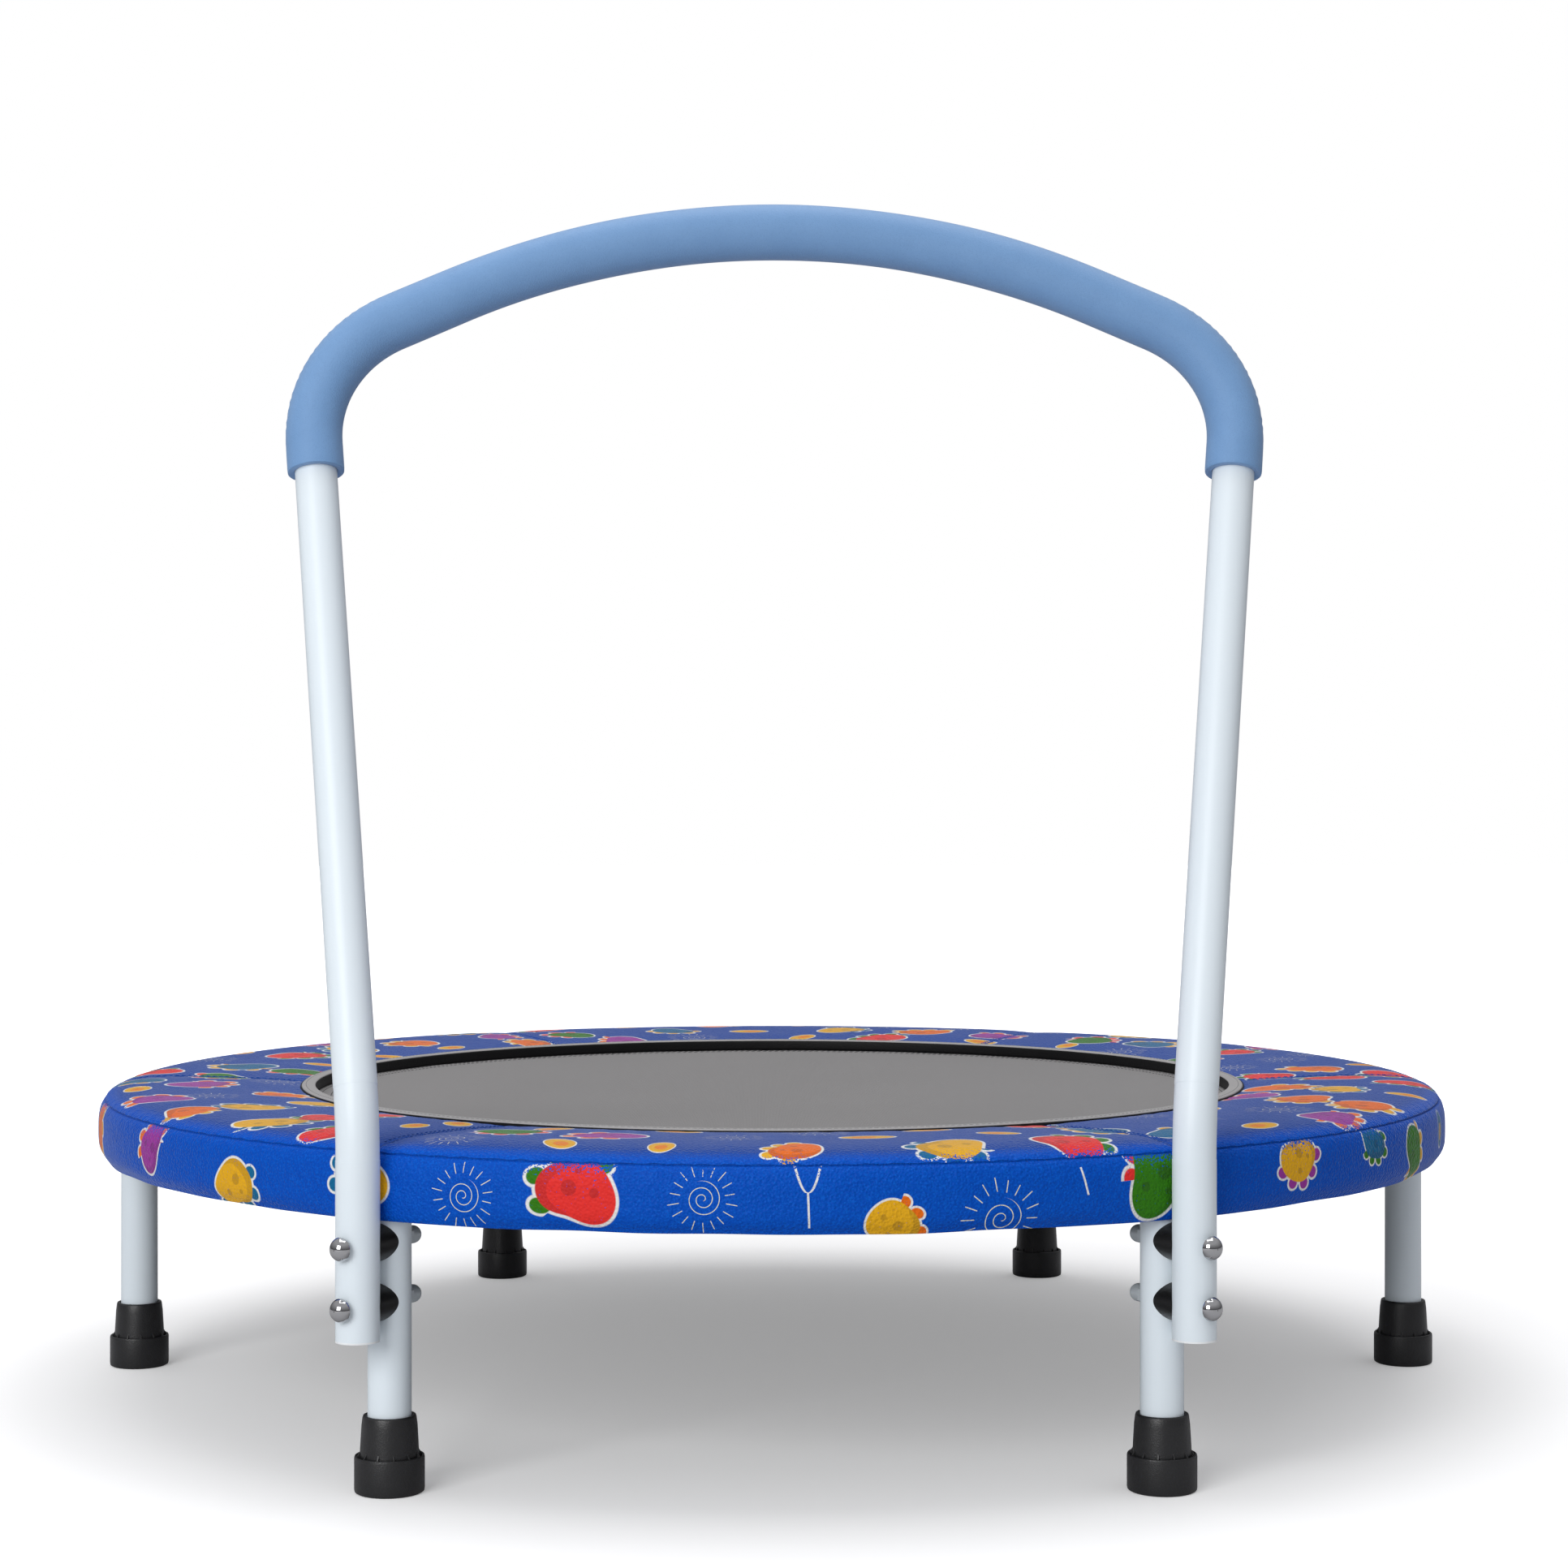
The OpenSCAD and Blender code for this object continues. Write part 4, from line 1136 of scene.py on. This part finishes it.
def make_triangles():
    """Wire triangles with rounded corners, one for each spring."""
    half_base, half_tip = 11 * MM, 2.5 * MM
    corners = [(TRIANGLE_BASE, -half_base), (TRIANGLE_TIP, -half_tip),
               (TRIANGLE_TIP, half_tip), (TRIANGLE_BASE, half_base)]
    line = []
    for i, corner in enumerate(corners):
        before, after = Vector(corners[i - 1]), Vector(corners[(i + 1) % 4])
        here = Vector(corner)
        back, on = (before - here).normalized(), (after - here).normalized()
        turn = math.pi - back.angle(on)
        cut = 2.2 * MM * math.tan(turn / 2)
        start, end = here + back * cut, here + on * cut
        for t in np.linspace(0, 1, 7):
            blend = start * (1 - t) ** 2 + here * 2 * t * (1 - t) + end * t**2
            line.append((blend.x, blend.y, WIRE_Z))
    base = path_mesh("triangle", line, closed=True)
    one = grown("triangle", base, WIRE, Radius=TRIANGLE_WIRE, Sides=10, Material=ZINC)
    mesh = grown("wire_triangles", one, ROUND, Count=SPRINGS,
                 First_Angle=math.radians(SPRING_STEP / 2), Material=ZINC)
    piece = new_piece("wire_triangles", outwards(mesh), [ZINC])
    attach(piece, MAT_BODY)
    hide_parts("spring_rings")


COIL_R = 4 * MM
COIL_WIRE = 0.9 * MM
STEPS_A_TURN = 14
EYE_R = 3.3 * MM
HOLE_SLOPE = math.radians(35)
HOOK_R = 7 * MM
HOOK_START = HOOP_R - TUBE_R * math.cos(HOLE_SLOPE) - HOOK_R * math.sin(HOLE_SLOPE)


def spring_path():
    """One wire: an eye round the triangle's tip, a close-wound coil and a hook into the hoop."""
    eye = TRIANGLE_TIP + 0.6 * MM
    start, end = eye + EYE_R + 2.0 * MM, HOOK_START - 5.5 * MM
    mid_r = COIL_R - COIL_WIRE
    path = [(x, 0, z) for x, z in arc_points((eye, WIRE_Z), EYE_R, -58, -345, 22)]
    path += [(eye + EYE_R + 0.7 * MM, 0.2 * MM, WIRE_Z + 1.6 * MM),
             (start - 0.4 * MM, 0.4 * MM, WIRE_Z + mid_r * 0.92)]
    turns = round((end - start) / (2 * COIL_WIRE * 1.04))
    steps = turns * STEPS_A_TURN
    for i in range(steps + 1):
        swing = TAU * i / STEPS_A_TURN
        path.append((start + (end - start) * i / steps,
                     mid_r * math.sin(swing), WIRE_Z + mid_r * math.cos(swing)))
    path += [(end + 1.6 * MM, -0.3 * MM, WIRE_Z + mid_r * 0.7), (end + 3.6 * MM, 0, WIRE_Z + 0.4 * MM)]
    hook = arc_points((HOOK_START, WIRE_Z - HOOK_R), HOOK_R, 92, 8, 16)
    return path + [(x, 0, z) for x, z in hook]


def make_springs():
    """Extension springs, one piece each, stretched between the hoop and the mat's triangles."""
    one = grown("spring", path_mesh("spring", spring_path()), WIRE, Radius=COIL_WIRE, Sides=8,
                Material=SPRING_WIRE)
    outwards(one)
    for i in range(SPRINGS):
        angle = (i + 0.5) * SPRING_STEP
        mesh = turned(one, angle)
        piece = new_piece(f"spring_{i + 1:02d}", mesh, [SPRING_WIRE])
        out = Matrix.Rotation(math.radians(angle), 3, "Z") @ Vector((1, 0, 0))
        hoop_end = out * (HOOK_START + 1.5 * MM)
        mat_end = out * (TRIANGLE_TIP + 3 * MM)
        hoop_end.z = mat_end.z = WIRE_Z
        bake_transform(piece)
    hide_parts("springs")


# ---------------------------------------------------------------- handle

GRIP_R = 17 * MM
CORNER_R = 78 * MM
SHOULDER_RUN = 41 * MM
SHOULDER_SLOPE = math.radians(25)
FLARE = math.radians(5.7)
LEAN = math.radians(16)
GRIP_TAIL = 19 * MM
GRIP_STEP = 2.2 * MM


def grip_half():
    """Half the grip's centreline in the handle's own plane, from its end to the shoulder's top.

    Gives points of x, run and curvature, and where the line ends and heads.
    """
    corner_turn = math.pi / 2 - SHOULDER_SLOPE + FLARE
    heading = math.pi / 2 - FLARE
    x = y = 0.0
    spans = [(GRIP_TAIL, 0), (CORNER_R * corner_turn, 1 / CORNER_R), (SHOULDER_RUN, 0)]
    half = [(x, y, 0.0)]
    for length, curve in spans:
        count = max(2, round(length / GRIP_STEP))
        for _ in range(count):
            part = length / count
            heading += curve * part / 2
            x += math.cos(heading) * part
            y += math.sin(heading) * part
            heading += curve * part / 2
            half.append((x, y, curve))
    return half, (x, y, heading)


def grip_centreline():
    """The grip's whole centreline in space, with its curvature, and the handle's own axes."""
    line, (x, y, heading) = grip_half()
    slope = math.pi - heading
    # The crown's arc runs from the shoulder to the middle plane
    foot_x = centre_x_of_grip_end()
    crown_r = (foot_x + x) / math.sin(slope)
    count = round(crown_r * slope / GRIP_STEP)
    for _ in range(count):
        part = crown_r * slope / count
        heading += part / crown_r / 2
        x += math.cos(heading) * part
        y += math.sin(heading) * part
        heading += part / crown_r / 2
        line.append((x, y, 1 / crown_r))
    flat = np.array([(foot_x + px, py, curve) for px, py, curve in line])
    other = flat[::-1][1:].copy()
    other[:, 0] *= -1
    flat = np.concatenate([flat, other])
    top_y = flat[:, 1].max()
    up = np.array([0, math.sin(LEAN), math.cos(LEAN)])
    across = np.array([1.0, 0, 0])
    # Hang the line from the crown's middle, which the frame gives
    crown = np.array([0, crown_mid_y(), grip_high[2] - GRIP_R])
    centre = crown + flat[:, :1] * across + (flat[:, 1:2] - top_y) * up
    return centre, flat[:, 2], across, up


def make_grip():
    """The foam grip: a swept sleeve, squeezed a little inside its two corners, with crisp ends."""
    centre, curve, across, up = grip_centreline()
    along = np.gradient(centre, axis=0)
    along /= np.linalg.norm(along, axis=1)[:, None]
    plane_normal = np.cross(across, up)
    side = np.cross(plane_normal, along)
    length = np.concatenate([[0], np.cumsum(np.linalg.norm(np.diff(centre, axis=0), axis=1))])
    total = length[-1]
    sides = 56
    ring = np.arange(sides) * TAU / sides
    bend = np.convolve(np.minimum(curve * CORNER_R, 1), np.ones(9) / 9, mode="same")

    def loop(at, spot, reach):
        out_side = np.outer(reach * np.cos(ring), side[at])
        return spot + out_side + np.outer(reach * np.sin(ring), plane_normal)

    rows = []
    for i in range(len(centre)):
        gap = min(length[i], total - length[i])
        inner = np.clip(-np.cos(ring), 0, 1) ** 2
        wrinkle = 0.22 * MM * bend[i] ** 2 * inner * math.sin(length[i] / (5.2 * MM) * TAU)
        drift = 0.12 * MM * (math.sin(length[i] * 31 + 1) + math.sin(length[i] * 53 + 2)) / 2
        flat_in = -0.35 * MM * bend[i] ** 2 * inner
        radius = GRIP_R + wrinkle + drift + flat_in - 0.15 * MM
        radius = radius - 0.15 * MM * (gap == 0)
        # The end rings sit a little inwards, so that the cut edge stays crisp
        inset = 0.4 * MM * ((i == 0) - (i == len(centre) - 1))
        spot = centre[i] + along[i] * inset
        rows.append(loop(i, spot, radius))
    # Each end's face, and the start of the bore inside it
    bore = TUBE_R + 0.25 * MM
    wall = (GRIP_R - bore) / MM
    ends = []
    for end, inward in ((0, 1), (len(centre) - 1, -1)):
        ends.append([loop(end, centre[end] + along[end] * inward * depth * MM, GRIP_R - shrink * MM)
                     for shrink, depth in ((0.32, 0.08), (0.7, 0.0), (wall - 0.3, 0.0),
                                           (wall, 0.4), (wall, 12))])
    points = np.array(ends[0][::-1] + rows + ends[1])
    mesh = sheet_mesh("grip_sleeve", points, closed_columns=True)
    face_outwards(mesh)
    piece = new_piece("grip_sleeve", mesh, [GRIP_FOAM])
    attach(piece, FRAME_BODY)
    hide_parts("handle_grip")
    return piece


def node_points(node):
    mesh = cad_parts[node].data
    points = np.empty(len(mesh.vertices) * 3)
    mesh.vertices.foreach_get("co", points)
    return points.reshape(-1, 3)


def crown_mid_y():
    """Where the crown's centreline crosses the middle plane, from the grip's own points."""
    points = node_points("handle_grip")
    middle = points[np.abs(points[:, 0]) < 12 * MM]
    return (middle[:, 1].min() + middle[:, 1].max()) / 2


def centre_x_of_grip_end():
    """How far from the middle plane the grip's lower ends are centred."""
    points = node_points("handle_grip")
    low = points[(points[:, 2] < grip_low[2] + 6 * MM) & (points[:, 0] > 0)]
    return (low[:, 0].min() + low[:, 0].max()) / 2


# ---------------------------------------------------------------- feet and fasteners


def make_feet():
    """Rubber feet: a tapered cup in a heavier ring, with short ribs in the groove between."""
    r, h = FOOT_R / MM, FOOT_H / MM
    ring_h = 0.48 * h
    outline = [
        (0.02, 0.0), (r - 5, 0.0), (r - 1.4, 0.05), (r - 0.25, 0.7), (r, 2.2), (r, ring_h - 1.6),
        (r - 0.25, ring_h - 0.35), (r - 0.9, ring_h), (r - 1.6, ring_h - 0.4),
        (r - 1.7, ring_h - 3), (r - 2.0, ring_h - 5.6), (r - 2.7, ring_h - 5.2),
        (r - 3.0, ring_h - 1), (r - 3.3, ring_h + 3), (15.9, h - 6), (15.3, h - 1.3),
        (14.9, h - 0.3), (14.2, h - 0.05), (13.2, h - 0.3), (12.8, h - 1.2), (12.7, h - 10),
        (12.7, 7), (11, 6.2), (0.02, 6.2)]
    cup = outwards(lathe("cup", np.array(outline) * MM, 96))
    rib = np.array([(r - 5, ring_h - 6), (r - 1.2, ring_h - 6), (r - 1.2, ring_h - 0.8),
                    (r - 5, ring_h + 5.5)]) * MM
    half = 0.55 * MM
    points = np.array([[(x, -half, z) for x, z in rib], [(x, half, z) for x, z in rib]])
    ribs = []
    for i in range(12):
        ribs.append(turned(sheet_mesh("rib", points, closed_columns=True, caps=True), i * 30 + 15))
    foot = joined("foot", [cup] + [outwards(rib) for rib in ribs])
    names = {0: "foot_right", 60: "foot_back_right", 120: "foot_back_left", 180: "foot_left",
             240: "foot_front_left", 300: "foot_front_right"}
    for angle, node in names.items():
        piece = new_piece(node + "_moulded", turned(foot, angle, (HOOP_R, 0, 0)), [FOOT_RUBBER])
        bevel = piece.modifiers.new("Soft edges", "BEVEL")
        bevel.width = 0.25 * MM
        bevel.segments = 2
        bevel.limit_method = "ANGLE"
        bevel.angle_limit = math.radians(50)
        bevel.harden_normals = True
        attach(piece, FRAME_BODY)
        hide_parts(node)


def dress_frame_parts():
    """Materials on the pieces that keep their own shape."""
    finishes = {
        "frame_ring": WHITE_COAT, "handle_tube": WHITE_COAT, "leg_studs": ZINC, "leg_inserts": ZINC,
        "post_plug": PLUG_PLASTIC, "spacer": SPACER_PLASTIC, "bolt": BRIGHT, "nut": NUT_FINISH,
        "pad_straps": BLACK_TAPE, "leg": WHITE_COAT,
    }
    for name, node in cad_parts.items():
        for start, material in finishes.items():
            if name.startswith(start):
                node.data.materials.clear()
                node.data.materials.append(material)
                break


# ---------------------------------------------------------------- stage, light and camera


FLOOR_HALF = 14
FLOOR_GLOW = 0.27
FAR_GLOW = 0.7


def make_stage():
    """A pale floor that is lit evenly for the camera and throws back less light on the piece."""
    material, tree, shader, place = start_material(
        "studio_floor", Roughness=0.8, Specular_IOR_Level=0.0, Emission_Color=(1, 1, 1))
    cloud = wire_up(tree, "ShaderNodeTexNoise", {"Vector": place, "Scale": 0.6})
    lit = mixed(tree, cloud.outputs["Fac"], (0.86, 0.86, 0.86), (0.88, 0.88, 0.88))
    away = wire_up(tree, "ShaderNodeVectorMath", {0: place}, operation="LENGTH")
    seen = Number(tree, tree.nodes.new("ShaderNodeLightPath").outputs["Is Camera Ray"])
    tree.links.new(mixed(tree, seen, (0.60, 0.60, 0.61), lit), shader.inputs["Base Color"])
    glow = (Number(tree, away.outputs["Value"]).over(1.0, 1.0) * FAR_GLOW + FLOOR_GLOW) * seen
    tree.links.new(glow.socket, shader.inputs["Emission Strength"])
    corners = [(-1, -1), (1, -1), (1, 1), (-1, 1)]
    mesh = bpy.data.meshes.new("studio_floor")
    mesh.from_pydata([(FLOOR_HALF * x, FLOOR_HALF * y, 0) for x, y in corners], [], [(0, 1, 2, 3)])
    floor = new_piece("studio_floor", mesh, [material])


def make_light():
    """A room that is darker below than above, and two soft boxes."""
    world = bpy.data.worlds.new("studio")
    bpy.context.scene.world = world
    world.use_nodes = True
    tree = world.node_tree
    background = tree.nodes["Background"]
    background.inputs["Strength"].default_value = 1.0
    ray = tree.nodes.new("ShaderNodeLightPath")
    aim = tree.nodes.new("ShaderNodeTexCoord").outputs["Generated"]
    split = wire_up(tree, "ShaderNodeSeparateXYZ", {"Vector": aim})
    height = Number(tree, split.outputs["Z"])
    room = mixed(tree, height.over(0.35, 0.7), (0.10, 0.10, 0.105), (0.53, 0.53, 0.545))
    shown = mixed(tree, ray.outputs["Is Camera Ray"], room, (1.0, 1.0, 1.0))
    tree.links.new(shown, background.inputs["Color"])
    softbox("overhead_softbox", place=(0.0, 0.2, 3.2), target=(0, 0, 0), size=2.4, power=38)
    softbox("front_left_softbox", place=(-1.5, -3.1, 1.5), target=(0, 0, 0.25), size=1.9,
            power=60)


def softbox(name, place, target, size, power):
    light = bpy.data.lights.new(name, "AREA")
    light.shape = "SQUARE"
    light.size = size
    light.energy = power
    lamp = bpy.data.objects.new(name, light)
    bpy.context.scene.collection.objects.link(lamp)
    lamp.location = place
    lamp.rotation_euler = (Vector(target) - Vector(place)).to_track_quat("-Z", "Y").to_euler()


CAMERA_SPOT = (-0.0118, -2.0914, 0.3982)
CAMERA_TURN = math.radians(-0.543)
CAMERA_LENS, SENSOR_WIDTH = 68.94, 36
CAMERA_SHIFT = 0.0047


def make_camera():
    """A level camera in front of the piece, just above the cover's height."""
    camera = bpy.data.cameras.new("camera")
    camera.lens = CAMERA_LENS
    camera.sensor_width = SENSOR_WIDTH
    camera.shift_y = CAMERA_SHIFT
    holder = bpy.data.objects.new("camera", camera)
    bpy.context.scene.collection.objects.link(holder)
    holder.location = CAMERA_SPOT
    holder.rotation_euler = (math.pi / 2, 0, CAMERA_TURN)
    bpy.context.scene.camera = holder
    bpy.context.scene.view_settings.view_transform = "Standard"


make_camera()
make_stage()
make_light()
make_cover()
make_cover_stitches()
make_lining()
make_opening_trim()
mat = make_mat()
mat_band, mat_stitches = make_mat_band()
make_loops()
make_triangles()
make_springs()
make_grip()
make_feet()
dress_frame_parts()
